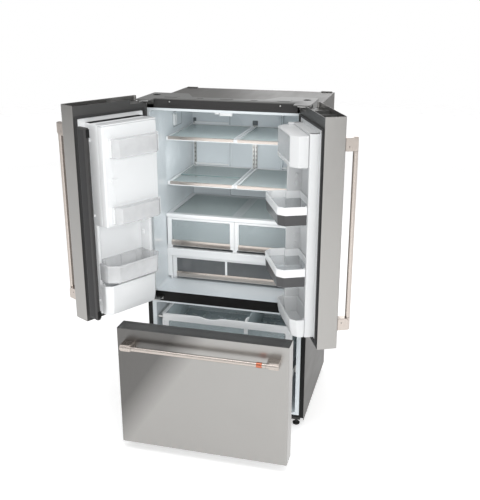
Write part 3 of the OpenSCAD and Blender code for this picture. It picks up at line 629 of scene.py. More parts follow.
# ---------------------------------------------------------------- operators
class FRIDGE_OT_stage(bpy.types.Operator):
    """Pale floor, soft light and the camera"""

    bl_idname = "fridge.stage"
    bl_label = "Stage"

    def execute(self, context):
        scene = context.scene
        scene.view_settings.view_transform = "Standard"
        make_finishes(scene.fridge_colours)
        for node, thing in NODES.items():
            thing.data.materials.clear()
            thing.data.materials.append(painted_shade_tone(FINISH[NODE_FINISH[SLOT_OF[node]]], BODY_OF[node]))
        self.floor(scene)
        self.sky(scene)
        centre = Vector((0, 0, 0.9))
        for name, spot, size, power, tint in (
                ("key_box", (2.1, -5.1, 2.7), (2.6, 2.2), 100, (1, 0.995, 0.985)),
                ("fill_box", (-1.9, -5.0, 2.2), (2.2, 2.2), 14, (0.98, 0.99, 1)),
                ("top_box", (-0.4, -1.2, 4.6), (3.0, 1.4), 40, (1, 1, 1)),
                ("rear_box", (0.5, 3.8, 2.8), (3.0, 2.0), 30, (1, 1, 1))):
            data = bpy.data.lights.new(name, "AREA")
            data.shape = "RECTANGLE"
            data.size, data.size_y = size
            data.energy = power
            data.color = tint
            lamp = bpy.data.objects.new(name, data)
            lamp.location = spot
            lamp.rotation_euler = (centre - Vector(spot)).to_track_quat("-Z", "Y").to_euler()
            scene.collection.objects.link(lamp)
        self.lamp(scene, "ceiling_lamp", CASE @ Vector((0, 210, 1728)), 0, (0.62, 0.24), 0.35)
        self.lamp(scene, "fresh_lamp", CASE @ Vector((0, -30, 1330)), 90, (0.7, 0.6), 0.75)
        self.lamp(scene, "crisper_lamp", CASE @ Vector((0, 380, 1122)), 0, (0.68, 0.3), 0.5)
        self.lamp(scene, "middle_lamp", CASE @ Vector((0, 200, 1420)), 90, (0.7, 0.14), 0.5)
        self.lamp(scene, "freezer_lamp", CASE @ Vector((0, 160, 668)), 0, (0.6, 0.2), 0.35)
        lens = bpy.data.cameras.new("camera")
        lens.lens = 54.2
        lens.clip_end = 200
        camera = bpy.data.objects.new("camera", lens)
        camera.location = (1.0696, -3.7528, 2.3280)
        camera.rotation_euler = (math.radians(90 - 19.162), 0, math.radians(14.986))
        scene.collection.objects.link(camera)
        scene.camera = camera
        return {"FINISHED"}

    @staticmethod
    def lamp(scene, name, spot, tilt, size, power):
        """A lamp inside the case, tilted in degrees from shining straight down."""
        data = bpy.data.lights.new(name, "AREA")
        data.shape = "RECTANGLE"
        data.size, data.size_y = size
        data.energy = power
        lamp = bpy.data.objects.new(name, data)
        lamp.location = spot
        lamp.rotation_euler = (math.radians(tilt), 0, 0)
        scene.collection.objects.link(lamp)

    @staticmethod
    def floor(scene):
        recipe = Recipe("pale_floor", Roughness=0.7, Emission_Strength=0.48)
        cloud = recipe.noise(900, 2.0)
        paint = recipe.between((0.92, 0.92, 0.92), (0.94, 0.94, 0.94), cloud)
        recipe.feed("Base Color", paint)
        recipe.feed("Emission Color", paint)
        # fades out towards its rim
        ball = recipe.node("ShaderNodeTexGradient", {"gradient_type": "SPHERICAL"},
                           {"Vector": recipe.place((1 / 13, 1 / 13, 1 / 13))})
        recipe.feed("Alpha", Signal(recipe, ball.outputs[1]) * 2.2)
        form = Form().prism([(x * 1000, y * 1000) for x, y in circle(0, 0, 14, 96)], -20, 0)
        data = bpy.data.meshes.new("floor")
        form.mesh.transform(Matrix.Scale(MM, 4))
        form.mesh.to_mesh(data)
        form.mesh.free()
        data.materials.append(recipe.material)
        floor = bpy.data.objects.new("floor", data)
        scene.collection.objects.link(floor)

    @staticmethod
    def sky(scene):
        """White to the camera, dimmer to the object, and dimmest from the left."""
        world = bpy.data.worlds.new("studio")
        world.use_nodes = True
        scene.world = world
        tree = world.node_tree
        back = tree.nodes["Background"]
        back.inputs["Color"].default_value = (1, 1, 1, 1)
        path = tree.nodes.new("ShaderNodeLightPath")
        level = tree.nodes.new("ShaderNodeMapRange")
        aim = tree.nodes.new("ShaderNodeTexCoord")
        split = tree.nodes.new("ShaderNodeSeparateXYZ")
        room = tree.nodes.new("ShaderNodeMapRange")
        for name, value in (("From Min", -1.0), ("From Max", 1.0), ("To Min", 0.34), ("To Max", 0.80)):
            room.inputs[name].default_value = value
        tree.links.new(aim.outputs["Generated"], split.inputs["Vector"])
        tree.links.new(split.outputs["X"], room.inputs["Value"])
        tree.links.new(room.outputs["Result"], level.inputs["To Min"])
        level.inputs["To Max"].default_value = 1.0
        tree.links.new(path.outputs["Is Camera Ray"], level.inputs["Value"])
        tree.links.new(level.outputs["Result"], back.inputs["Strength"])


class FRIDGE_OT_case(bpy.types.Operator):
    """Case, top cover, header, black frame and hinges"""

    bl_idname = "fridge.case"
    bl_label = "Case"

    def execute(self, context):
        size = sizes()
        for node, finish, bevel in (
                ("case_shell", "case", 0.5), ("back_panel", "case", 0.5),
                ("face_frame", "black", 1.2), ("front_header", "header", 1.5),
                ("top_cover", "cover", 1.6), ("mullion_bar", "black", 2.0),
                ("hinges", "zinc", 0.9), ("machine_cover", "black", 0.4),
                ("chassis", "chassis", 0.6), ("compressor", "chassis", 2.0),
                ("toe_grille", "black", 0.8), ("left_foot", "foot", 0.8),
                ("right_foot", "foot", 0.8), ("rear_rollers", "foot", 1.2),
                ("fan_blade", "black", 0.3)):
            edged(node, FINISH[finish], bevel)
        high = local_box("top_cover", CASE)[1]
        header_low, header_high = local_box("front_header", CASE)
        # plugs over the hinge screws
        form = Form()
        for side in (-1, 1):
            x, y = side * (HALF_WIDTH - 50), 118
            ring = [(x + (p - x) * 1.25, q) for p, q in circle(x, y, 14.5, 32)]
            inner = [(x + (p - x) * 1.25, q) for p, q in circle(x, y, 11.5, 32)]
            form.stack([(ring, high.z - 6), (ring, high.z + 0.6),
                        (inner, high.z + 1.4), (inner, high.z - 1.0)])
        finish_piece("cover_plugs", form.mesh, CASE, "cabinet", FINISH["black"])
        # raised pads along the cover
        form = Form()
        for x0, x1, y0, y1 in ((-330, -262, 40, 96), (-150, -118, 30, 52), (-30, 36, 28, 50),
                               (262, 330, 40, 96), (130, 164, 30, 52)):
            outline = rounded(rectangle(x0, x1, y0, y1), 6)
            form.stack([(outline, high.z - 1), (outline, high.z + 1.4),
                        (inset(outline, 1), high.z + 2.2)])
        finish_piece("cover_pads", form.mesh, CASE, "cabinet", FINISH["cover"])
        # screws in the header
        form = Form()
        for x in (-288, 288):
            form.dome((x, header_low.y - 0.2, header_high.z - 11), (0, -1, 0), size.screw, 2.4)
        finish_piece("header_screws", form.mesh, CASE, "cabinet", FINISH["zinc"])
        # pressed rib along the header
        outline = rounded(rectangle(-300, 300, header_low.z + 14, header_low.z + 19), 2)
        form = Form().stack([(outline, header_low.y + 0.5), (outline, header_low.y - 0.8),
                             (inset(outline, 1), header_low.y - 1.3)], "y")
        finish_piece("header_rib", form.mesh, CASE, "cabinet", FINISH["header"])
        # screws around the rear panel
        back_high = local_box("back_panel", CASE)[1]
        for side, x in (("left", -HALF_WIDTH + 14), ("right", HALF_WIDTH - 14)):
            form = Form().dome((x, back_high.y - 0.1, 380), (0, 1, 0), size.screw, 2.2)
            repeated("rear_screws_" + side, form, CASE, "cabinet", FINISH["zinc"],
                     8, (0, 0, 190))
        form = Form().dome((-300, back_high.y - 0.1, back_high.z - 22), (0, 1, 0), size.screw, 2.2)
        repeated("rear_screws_top", form, CASE, "cabinet", FINISH["zinc"], 5, (150, 0, 0))
        # pressed panels that stiffen the rear sheet
        form = Form()
        for x0, x1 in ((-390, -20), (20, 390)):
            outline = rounded(rectangle(x0, x1, 420, back_high.z - 60), 24, 6)
            form.band(outline, inset(outline, 9), back_high.y - 0.4, back_high.y + 1.6, "y")
        finish_piece("rear_ribs", form.mesh, CASE, "cabinet", FINISH["case"], 0.6)
        # pin caps and bolts of the hinges
        plate = local_box("left_skin", LEFT)[0].z - 4
        form = Form()
        for side in (-1, 1):
            for x, y in ((430, 60), (400, 60), (415, 150)):
                form.dome((side * x, y, local_box("case_shell", CASE)[1].z + 5), (0, 0, 1), 5.5, 3.4)
            for x in (388, 372):
                form.dome((side * x, -30, plate), (0, 0, 1), 5.0, 2.6)
        finish_piece("hinge_bolts", form.mesh, CASE, "cabinet", FINISH["zinc"])
        return {"FINISHED"}


class FRIDGE_OT_liners(bpy.types.Operator):
    """White liners of both compartments with their fittings"""

    bl_idname = "fridge.liners"
    bl_label = "Liners"

    def execute(self, context):
        edged("fresh_liner", FINISH["liner"], 2.0)
        edged("freezer_liner", FINISH["freezer"], 2.0)
        edged("air_tower", FINISH["liner"], 2.4)
        edged("shelf_tracks", FINISH["zinc"], 0.4)
        tower_low = local_box("air_tower", CASE)[0]
        face = tower_low.y
        # painted shade: a dark band around the top and right of the duct's cover, where the gap falls in shade
        outline = rounded(rectangle(-158, 158, 1128, 1682), 16, 6)
        form = Form().band(outline, inset(outline, 2.2), face - 0.5, face + 1, "y")
        finish_piece("duct_gap", form.mesh, CASE, "cabinet", FINISH["shadow"])
        outline = rounded(rectangle(-148, 148, 1300, 1668), 12, 6)
        form = Form().stack([(outline, face + 1), (outline, face - 1.6),
                             (inset(outline, 2.5), face - 3)], "y")
        finish_piece("duct_cover", form.mesh, CASE, "cabinet", FINISH["liner"])
        form = Form().prism(rounded(rectangle(-46, -35, 1640, 1652), 3), face - 4.2, face - 2.4, "y")
        repeated("duct_louvres", form, CASE, "cabinet", FINISH["frame"], 6, (15, 0, 0))
        # port high on the left wall
        wall = -HALF_WIDTH + 52
        port = rounded(rectangle(344, 494, 1590, 1674), 9, 5)
        # painted shade: a dark band round the port, where its gap falls in shade
        form = Form().band(port, inset(port, 2.4), wall - 0.8, wall + 0.7, "x")
        finish_piece("port_gap", form.mesh, CASE, "cabinet", FINISH["shadow"])
        port = rounded(rectangle(352, 392, 1600, 1664), 7, 5)
        form = Form().stack([(port, wall - 1), (port, wall + 7), (inset(port, 2), wall + 9),
                             (inset(port, 8), wall + 9), (inset(port, 9), wall + 7)], "x")
        finish_piece("port_cover", form.mesh, CASE, "cabinet", FINISH["frame"])
        # guide that turns the folding strip
        form = Form()
        guide = rounded([(-26, 8), (40, 8), (40, 22), (22, 34), (-12, 34), (-26, 22)], 4)
        form.stack([(guide, 1722), (guide, 1738)])
        form.prism(rounded(rectangle(-52, -30, 10, 26), 4), 1728, 1738)
        finish_piece("strip_guide", form.mesh, CASE, "cabinet", FINISH["frame"], 1.2)
        # lamp window in the ceiling
        lamp = rounded(rectangle(-170, 170, 250, 330), 14, 5)
        form = Form().stack([(lamp, 1738.5), (lamp, 1733), (inset(lamp, 3), 1731.5)])
        finish_piece("lamp_window", form.mesh, CASE, "cabinet", FINISH["frame"])
        # slots of the shelf tracks: dark prisms, painted shade standing in for the dark behind them
        tracks_low, tracks_high = local_box("shelf_tracks", CASE)
        for name, x in (("outer_left", -381), ("middle_left", -7.5), ("middle_right", 7.5),
                        ("outer_right", 381)):
            front = tracks_high.y - 10 if abs(x) > 100 else tracks_low.y
            hook = rounded(rectangle(x - 2.1, x + 2.1, 1202, 1213), 0.8, 2)
            form = Form().prism(hook, front - 0.35, front + 0.2, "y")
            repeated("track_slots_" + name, form, CASE, "cabinet", FINISH["gap"],
                     14, (0, 0, 25.4))
        # heads at the tops of the tracks, coloured with the painted shade grey
        form = Form()
        for x in (-381, 0, 381):
            wide = 8 if abs(x) > 100 else 15
            front = tracks_high.y - 10 if abs(x) > 100 else tracks_low.y
            head = rounded(rectangle(x - wide, x + wide, 1568, 1594), 3)
            form.prism(head, front - 2, front + 7, "y")
        finish_piece("track_heads", form.mesh, CASE, "cabinet", FINISH["shadow"], 1.0)
        return {"FINISHED"}


class FRIDGE_OT_shelves(bpy.types.Operator):
    """Glass shelves with their frames and metal strips"""

    bl_idname = "fridge.shelves"
    bl_label = "Shelves"

    def execute(self, context):
        edged("shelf_glass", FINISH["pane"], 0.6)
        edged("shelf_frames", FINISH["frame"], 1.2)
        edged("tuck_glass", FINISH["pane"], 0.6)
        edged("tuck_trim", FINISH["frame"], 1.6)
        edged("crisper_cover", FINISH["frame"], 1.6)
        high = sizes().strip
        frames_low, frames_high = local_box("shelf_frames", CASE)
        tuck_low, tuck_high = local_box("tuck_trim", CASE)
        front = frames_low.y
        shelf_1 = frames_high.z - 12
        shelf_2 = tuck_high.z - 12
        edge = -frames_low.x

        def strip(form, x0, x1, z):
            outline = rounded(rectangle(front - 1.6, front + 9, z + 13 - high, z + 13), [3, 1, 1, 4], 4)
            form.stack([(outline, x0 + 1.5), (outline, x1 - 1.5)], "x")
        form = Form()
        strip(form, -edge + 4, -9, shelf_1)
        strip(form, 9, edge - 4, shelf_1)
        strip(form, 9, edge - 4, shelf_2)
        finish_piece("shelf_strips", form.mesh, CASE, "cabinet", FINISH["warm_x"], 0.5)
        form = Form()
        strip(form, tuck_low.x + 2, tuck_high.x - 2, shelf_2)
        finish_piece("tuck_strip", form.mesh, CASE, "tuck_shelf", FINISH["warm_x"], 0.5)
        # green edges of the panes
        form = Form()
        for x0, x1, y0, z in ((-edge + 12, -17, front + 14, shelf_1), (17, edge - 12, front + 14, shelf_1),
                              (17, edge - 12, front + 14, shelf_2), (-edge + 12, -17, 406, shelf_2)):
            form.block(x0, x1, y0 - 0.3, y0 + 1.2, z + 5.3, z + 9.7)
        finish_piece("pane_edges", form.mesh, CASE, "cabinet", FINISH["pane_edge"])
        # supports under the shelves, and end blocks where two shelves meet
        form = Form()
        for z in (shelf_1, shelf_2):
            for x0, x1 in ((-edge, -edge + 9), (edge - 9, edge), (-9, -1), (1, 9)):
                outline = rounded(rectangle(front - 2.2, front + 13, z - 8.6, z + 12.4), 3.4, 4)
                if z == shelf_2 and x1 < 0:
                    outline = rounded(rectangle(front + 15, front + 40, z - 7, z + 12.2), 3, 4)
                form.stack([(outline, x0), (outline, x1)], "x")
        finish_piece("shelf_ends", form.mesh, CASE, "cabinet", FINISH["frame"], 0.8)
        # raised lip and rear rail on each shelf
        form = Form()
        for z in (shelf_1, shelf_2):
            for x0, x1 in ((-edge + 13, -18), (18, edge - 13)):
                lip = rounded(rectangle(frames_high.y - 9, frames_high.y - 1, z + 11, z + 22), 2.5)
                form.stack([(lip, x0), (lip, x1)], "x")
        finish_piece("shelf_rear_lips", form.mesh, CASE, "cabinet", FINISH["frame"])
        return {"FINISHED"}


class FRIDGE_OT_crispers(bpy.types.Operator):
    """Crispers, the wide drawer and the shelf between them"""

    bl_idname = "fridge.crispers"
    bl_label = "Crispers"

    def execute(self, context):
        edged("drawer_frame", FINISH["frame"], 3.0)
        wall = 3.0
        for side in ("left", "right"):
            body = side + "_crisper"
            low, high = local_box(body, CASE)
            front_low, front_high = local_box(body + "_front", CASE)
            form = Form().tub(rectangle(low.x, high.x, low.y, high.y), 14, wall, low.z, high.z,
                              3.0, 2.0)
            finish_piece(body + "_tub", form.mesh, CASE, body, FINISH["crisper"],
                         replaces=(body,))
            edged(body + "_front", FINISH["frame"], 1.8)
            self.front(body, front_low, front_high, "crisper")
        low, high = local_box("wide_drawer", CASE)
        front_low, front_high = local_box("wide_drawer_front", CASE)
        form = Form().tub(rectangle(low.x, high.x, low.y, high.y), 14, wall, low.z, high.z, 3.0, 2.0)
        form.block(-51, -47, low.y + 4, high.y - 4, low.z + 3, high.z - 12)
        finish_piece("wide_drawer_tub", form.mesh, CASE, "wide_drawer", FINISH["smoked"],
                     replaces=("wide_drawer",))
        edged("wide_drawer_front", FINISH["frame"], 1.8)
        self.front("wide_drawer", front_low, front_high, "smoked")
        # beads along the white shelf
        frame_low, frame_high = local_box("drawer_frame", CASE)
        form = Form()
        for z in (889, 922):
            bead = rounded(rectangle(frame_low.y - 1.4, frame_low.y + 2, z - 2, z + 2), 1.4)
            form.stack([(bead, frame_low.x + 8), (bead, frame_high.x - 8)], "x")
        finish_piece("frame_beads", form.mesh, CASE, "cabinet", FINISH["frame"])
        return {"FINISHED"}

    @staticmethod
    def front(body, low, high, pane):
        """Metal strip with a grip, and the window behind it."""
        outline = rounded([(low.y - 2.0, low.z + 2), (low.y + 3, low.z + 1), (low.y + 3, low.z + 33),
                           (low.y - 0.5, low.z + 33), (low.y - 3.2, low.z + 22)], [2, 1, 1, 1, 4], 4)
        form = Form().stack([(outline, low.x + 22.5), (outline, high.x - 22.5)], "x")
        finish_piece(body + "_strip", form.mesh, CASE, body, FINISH["warm_x"], 0.3)
        window = rectangle(low.x + 21, high.x - 21, low.z + 30, high.z - 10)
        form = Form().stack([(window, low.y + 3.5), (window, low.y + 6)], "y")
        finish_piece(body + "_window", form.mesh, CASE, body, FINISH[pane])
        # raised beads on the side posts
        form = Form()
        for x in (low.x + 12, high.x - 12):
            bead = rounded(rectangle(x - 7, x + 7, low.z + 8, high.z - 8), 4)
            form.stack([(bead, low.y + 1), (bead, low.y - 1.2), (inset(bead, 1.4), low.y - 2.2)], "y")
        finish_piece(body + "_posts", form.mesh, CASE, body, FINISH["frame"])


class FRIDGE_OT_doors(bpy.types.Operator):
    """Steel skins, grey caps, seals, liners and the folding strip of both doors"""

    bl_idname = "fridge.doors"
    bl_label = "Doors"

    def execute(self, context):
        for side, place in (("left", LEFT), ("right", RIGHT)):
            body = side + "_door"
            edged(side + "_skin", FINISH["steel"], 0.35)
            edged(side + "_caps", FINISH["cap"], 1.4)
            self.seal(side, place, body)
            self.liner(side, place, body)
            self.rear_sheet(side, place, body)
        edged("door_flap", FINISH["flap"], 1.6)
        flap_low, flap_high = local_box("door_flap", LEFT)
        # soft lip and heater seam along the folding strip
        form = Form()
        seam = rounded(rectangle(flap_high.x - 1.5, flap_high.x + 0.8, 20, 64), 1.0)
        form.stack([(seam, flap_low.z + 10), (seam, flap_high.z - 10)])
        finish_piece("flap_seam", form.mesh, LEFT, "door_flap", FINISH["gasket"])
        form = Form()
        for z in (flap_low.z + 6, flap_high.z - 46):
            clip = rounded(rectangle(flap_low.x + 6, flap_high.x - 2, 76, 83.5), 2)
            form.stack([(clip, z), (clip, z + 40)])
        finish_piece("flap_ends", form.mesh, LEFT, "door_flap", FINISH["black"], 0.8)
        return {"FINISHED"}

    @staticmethod
    def seal(side, place, body):
        """Magnetic seal: a flat foot and a soft hollow bead."""
        low, high = local_box(side + "_gasket", place)
        outline = rounded(rectangle(low.x, high.x, low.z, high.z), 7, 4)
        section = [(0.6, low.y), (0, low.y + 2.6), (2.4, low.y + 4.2), (0.8, high.y - 3.2),
                   (1.6, high.y - 0.5), (5.0, high.y), (9.6, high.y - 0.8), (10.8, high.y - 3.4),
                   (9.2, low.y + 4.4), (11.6, low.y + 2.8), (11.6, low.y)]
        form = Form().edging(outline, section)
        finish_piece(side + "_seal", form.mesh, place, body, FINISH["gasket"],
                     replaces=(side + "_gasket",))

    @staticmethod
    def rear_sheet(side, place, body):
        """Painted sheet around the liner, inside the seal."""
        low, high = local_box(side + "_skin", place)
        outline = rectangle(low.x + 2, high.x - 2, low.z + 6, high.z - 34)
        hole = rectangle(24, high.x - 15, low.z + 25, high.z - 66)
        form = Form().band(outline, hole, -13.4, -11.4, "y")
        finish_piece(side + "_door_back", form.mesh, place, body, FINISH["cap"], 0.4)

    @staticmethod
    def liner(side, place, body):
        form = Form()
        plate = rounded(rectangle(30.6, 425.4, 749.6, 1747.4), 10, 4)
        form.stack([(plate, -13), (plate, -9.5), (inset(plate, 1.5), -8)], "y")
        finish_piece(side + "_plate", form.mesh, place, body, FINISH["white"])
        # borders: the hinge side stands higher than the free side
        z0, z1 = 752, 1728
        form = Form()
        tall = 62
        form.stack([(rounded([(55, -9), (77, -9), (74, tall - 4), (70, tall), (60, tall), (56, tall - 4)],
                             [0.5, 0.5, 3, 4, 4, 3], 3), level) for level in (z0, z1)])
        form.stack([(rounded([(362, -9), (384, -9), (383, 31), (378, 36), (369, 36), (364, 31)],
                             [0.5, 0.5, 3, 4, 4, 3], 3), level) for level in (z0, z1)])
        finish_piece(side + "_borders", form.mesh, place, body, FINISH["white"], 2.0, 3)
        form = Form().stack([(rounded([(60, -9), (380, -9), (376, 31), (370, 35.5), (70, 35.5), (64, 31)],
                                      [0.5, 0.5, 3, 4, 4, 3], 3), level) for level in (z1 - 8, z1)])
        finish_piece(side + "_top_border", form.mesh, place, body, FINISH["white"],
                     1.6, 2)
        # sunk field and bin lugs
        form = Form()
        field = rounded(rectangle(86, 353, 790, 1216 if side == "left" else 1560), 16, 5)
        form.band(field, inset(field, 3), -9, -6.6, "y")
        lugs = (905, 1120) if side == "left" else (905, 966, 1120, 1166, 1268, 1430, 1470)
        for z in lugs:
            for u, lean in ((77, 1), (362, -1)):
                lug = rounded(rectangle(z - 13, z + 13, 8, 24), 6)
                form.stack([([(b, a) for a, b in reversed(lug)], u - lean * 1),
                            ([(b, a) for a, b in reversed(lug)], u + lean * 5),
                            ([(b, a) for a, b in reversed(inset(lug, 2))], u + lean * 7)], "x")
        finish_piece(side + "_lugs", form.mesh, place, body, FINISH["white"])
        if side == "left":
            FRIDGE_OT_ice.housing(place, body)
            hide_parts("left_liner")
        else:
            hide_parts("right_liner")


class FRIDGE_OT_ice(bpy.types.Operator):
    """Ice compartment, its door, bins and latch"""

    bl_idname = "fridge.ice"
    bl_label = "Ice compartment"

    @staticmethod
    def housing(place, body):
        z0, z1 = 1222, 1722
        side = rounded(rectangle(55, 384, z0, 1728), [12, 12, 3, 3], 5)
        mouth = rounded(rectangle(78, 367, z0 + 18, z1 - 18), 14, 5)
        form = Form().stack([(side, -9), (side, 82), (inset(side, 1.2), 85),
                             (mouth, 85), (inset(mouth, 3), 8), (inset(mouth, 10), 7)], "y")
        finish_piece("ice_housing", form.mesh, place, body, FINISH["white"], 0.8)
        # an ear under the ice door, a roof over it, and the lugs of the folding strip
        form = Form()
        ear = rounded(rectangle(55.2, 71.5, 72, 101.6), 6)
        form.stack([(ear, z0), (ear, z0 + 5.4)])
        roof = rounded(rectangle(55.2, 384, 74, 124), 7)
        form.stack([(roof, z1 + 0.4), (roof, 1728)])
        for z in (820, 1270, 1640):
            lug = rounded([(378, 19), (421, 19), (430, 21), (430, 29), (421, 31), (378, 31)], 4)
            form.stack([(lug, z), (lug, z + 12)])
        finish_piece("left_ears", form.mesh, place, body, FINISH["white"], 0.8)

    def execute(self, context):
        low, high = local_box("ice_door", LEFT)
        front = 125
        # the door: a rounded slab with a sunk back
        slab = rounded(rectangle(low.x + 0.4, high.x, low.z + 5.2, high.z - 5.2), [14, 10, 10, 14], 5)
        back = rounded(rectangle(96, 352, 1264, 1690), 12, 5)
        form = Form().stack([(inset(back, 4), 107), (inset(back, 2), 87), (back, 86.2),
                             (inset(slab, 2), 86.2), (slab, 89), (slab, 118), (inset(slab, 1.6), 122.5),
                             (inset(slab, 5), front - 0.3)], "y")
        finish_piece("ice_door_slab", form.mesh, LEFT, "ice_door", FINISH["white"], 0.4,
                     replaces=("ice_door",))
        # sunk field on the face, and the finger recess on the free edge
        form = Form()
        field = rounded(rectangle(84, 330, 1340, 1556), 12, 5)
        form.band(field, inset(field, 2.4), front - 1.2, front + 0.9, "y")
        side = rounded(rectangle(336, 376, 1240, 1706), 8, 4)
        form.band(side, inset(side, 1.6), front - 1.2, front + 0.7, "y")
        finish_piece("ice_door_lines", form.mesh, LEFT, "ice_door", FINISH["frame"])
        # the recess is a flat patch of the slightly darker frame white, a faint painted shade
        recess = rounded(rectangle(1462, 1552, 106, 118), 5, 4)
        recess = [(b, a) for a, b in reversed(recess)]
        form = Form().stack([(recess, 383), (recess, 384.6)], "x")
        finish_piece("ice_finger_recess", form.mesh, LEFT, "ice_door", FINISH["frame"])
        # hinge pins
        form = Form()
        for z in (low.z - 0.2, high.z - 5.4):
            form.rod((63.3, 94, z), (63.3, 94, z + 5.6), 3)
        finish_piece("ice_pins", form.mesh, LEFT, "ice_door", FINISH["frame"])
        # bins on the ice door
        wall = sizes().bin_wall
        for index, (z0, z1) in enumerate(((1568, 1659), (1243, 1326))):
            corners = [(59, 125.4), (352, 125.4), (352, 140), (320, 170), (92, 170), (59, 140)]
            form = Form().tub(corners, 5, wall - 0.6, z0, z1, 1.5, 1.8)
            name = ("upper", "lower")[index]
            finish_piece("ice_bin_" + name, form.mesh, LEFT, "ice_door", FINISH["bin"],
                         replaces=("ice_door_bins",) if not index else ())
            arms = Form()
            for u in (61, 350):
                arm = rounded(rectangle(u - 2.6, u + 2.6, 125, 141), 1.4)
                arms.stack([(arm, z0 + 4), (arm, z1 + 3)])
            finish_piece("ice_arms_" + name, arms.mesh, LEFT, "ice_door", FINISH["frame"], 0.8)
        edged("ice_latch", FINISH["frame"], 1.2)
        return {"FINISHED"}


class FRIDGE_OT_bins(bpy.types.Operator):
    """Bins of both doors and the dairy compartment"""

    bl_idname = "fridge.bins"
    bl_label = "Door bins"

    def execute(self, context):
        wall, rim = sizes().bin_wall, sizes().rim
        # deep bins of the right door: white rim over a smoked tub
        front = local_box("right_bins", RIGHT)[1].y
        for index, z0 in enumerate((1307, 1007)):
            name = ("upper", "lower")[index]
            self.deep(RIGHT, "right_door", "right_bin_" + name, z0, 90, 375, front, 30, rim, wall,
                      "smoked", ("right_bins",) if not index else ())
        self.floor_bin("right", RIGHT, "right_door", 842)
        # clear bin of the left door
        self.deep(LEFT, "left_door", "left_bin_middle", 935, 93, 384, 150, 42, 12, wall, "bin",
                  ("left_bins",))
        self.floor_bin("left", LEFT, "left_door", 912)
        self.dairy()
        return {"FINISHED"}

    @staticmethod
    def outline(u0, u1, v1, cut):
        """A bin seen from above: between the borders at the back, over them at the front."""
        return [(78, -6), (361, -6), (361, 38), (u1, 38), (u1, v1 - cut), (u1 - cut, v1),
                (u0 + cut, v1), (u0, v1 - cut), (u0, 64), (78, 64)]

    def deep(self, place, body, name, z0, height, u1, front, cut, rim, wall, kind, replaces):
        corners = self.outline(57, u1, front, cut)
        radii = [3, 3, 1.2, 2, 9, 12, 12, 9, 2, 1.2]
        top = z0 + height

        def ring(distance, lean=0.0):
            moved = inset(corners, distance)
            return rounded([(u, v - lean if v > 66 else v) for u, v in moved], radii, 4)
        tub_top = top - rim
        layers = [(ring(3.4, 5), z0), (ring(1.2, 4), z0 + 3), (ring(1.0), tub_top + 1),
                  (ring(wall + 0.8), tub_top + 1), (ring(wall + 1, 4), z0 + 5),
                  (ring(wall + 3, 5), z0 + wall)]
        form = Form().stack(layers)
        dark = kind == "smoked"
        finish_piece(name + "_tub", form.mesh, place, body, FINISH["tint" if dark else kind],
                     replaces=replaces)
        if dark:
            # tinted strip round the front of the tub
            path = [(u1 - 1, 40), (u1 - 1, front - cut), (u1 - cut, front - 1), (57 + cut, front - 1),
                    (58, front - cut), (58, 66)]
            path += [(u + (1.2 if u < 216 else -1.2), v - 1.2) for u, v in reversed(path)]
            form = Form().stack([([(u, v - 4 if v > 66 else v) for u, v in path], z0 + 3),
                                 (path, tub_top + 1)])
            finish_piece(name + "_strip", form.mesh, place, body, FINISH["bin_front"])
            # pale inside of that strip
            path = [(u + (1.4 if u < 216 else -1.4), v - 1.4) for u, v in path[:6]]
            path += [(u + (0.8 if u < 216 else -0.8), v - 0.8) for u, v in reversed(path)]
            form = Form().stack([([(u, v - 4 if v > 66 else v) for u, v in path], z0 + 3),
                                 (path, tub_top + 1)])
            finish_piece(name + "_back", form.mesh, place, body, FINISH["frame"])
        layers = [(ring(0.8), tub_top), (ring(0), tub_top + 2), (ring(0), top - 2.5),
                  (ring(0.8), top - 0.4), (ring(2), top), (ring(wall + 1.4), top),
                  (ring(wall + 2.0), top - 2), (ring(wall + 0.4), tub_top + 2),
                  (ring(wall + 0.2), tub_top)]
        form = Form().stack(layers, closed=True)
        finish_piece(name + "_rim", form.mesh, place, body,
                     FINISH["frame"] if kind == "smoked" else FINISH["bin"])
        # fine ribs inside the back of the bin
        form = Form()
        for u in (120, 219, 318):
            rib = rounded(rectangle(u - 1.2, u + 1.2, -3.5, -0.5), 0.8, 2)
            form.stack([(rib, z0 + 4), (rib, top - 4)])
        finish_piece(name + "_ribs", form.mesh, place, body,
                     FINISH["frame"] if kind == "smoked" else FINISH["bin"])

    def floor_bin(self, side, place, body, top):
        """The lowest bin: a deep moulded front that draws in towards the floor."""
        corners = self.outline(57, 384, 105, 28)
        radii = [3, 3, 1.2, 2, 12, 14, 14, 12, 2, 1.2]

        def ring(distance, lean=0.0):
            moved = inset(corners, distance)
            return rounded([(u, v - lean if v > 66 else v) for u, v in moved], radii, 5)
        base = local_box(side + "_bins", place)[0].z
        layers = [(ring(5, 13), base), (ring(2.0, 11), base + 3), (ring(0.6, 7), base + 20),
                  (ring(0, 3), base + 44), (ring(0), top - 14), (ring(0), top - 2), (ring(1), top),
                  (ring(3.6), top), (ring(4.6), top - 2), (ring(4.6), top - 14), (ring(4.6, 3), base + 44),
                  (ring(5.6, 10), base + 8), (ring(8, 12), base + 5)]
        form = Form().stack(layers)
        finish_piece(side + "_floor_bin", form.mesh, place, body, FINISH["white"])
        bead = [(0.4, top - 17), (-0.8, top - 15), (-0.8, top - 12), (0.4, top - 10)]
        form = Form().edging(ring(0), bead, "z")
        finish_piece(side + "_floor_bead", form.mesh, place, body, FINISH["white"])

    def dairy(self):
        low, high = local_box("dairy_box", RIGHT)
        corners = self.outline(57, 375, high.y, 34)
        radii = [3, 3, 1.2, 2, 8, 9, 9, 8, 2, 1.2]
        z0, z1 = low.z, high.z
        opening_u0, opening_u1 = 94, 335

        def ring(distance, lean=0.0):
            moved = inset(corners, distance)
            return rounded([(u, v - lean if v > 66 else v) for u, v in moved], radii, 4)
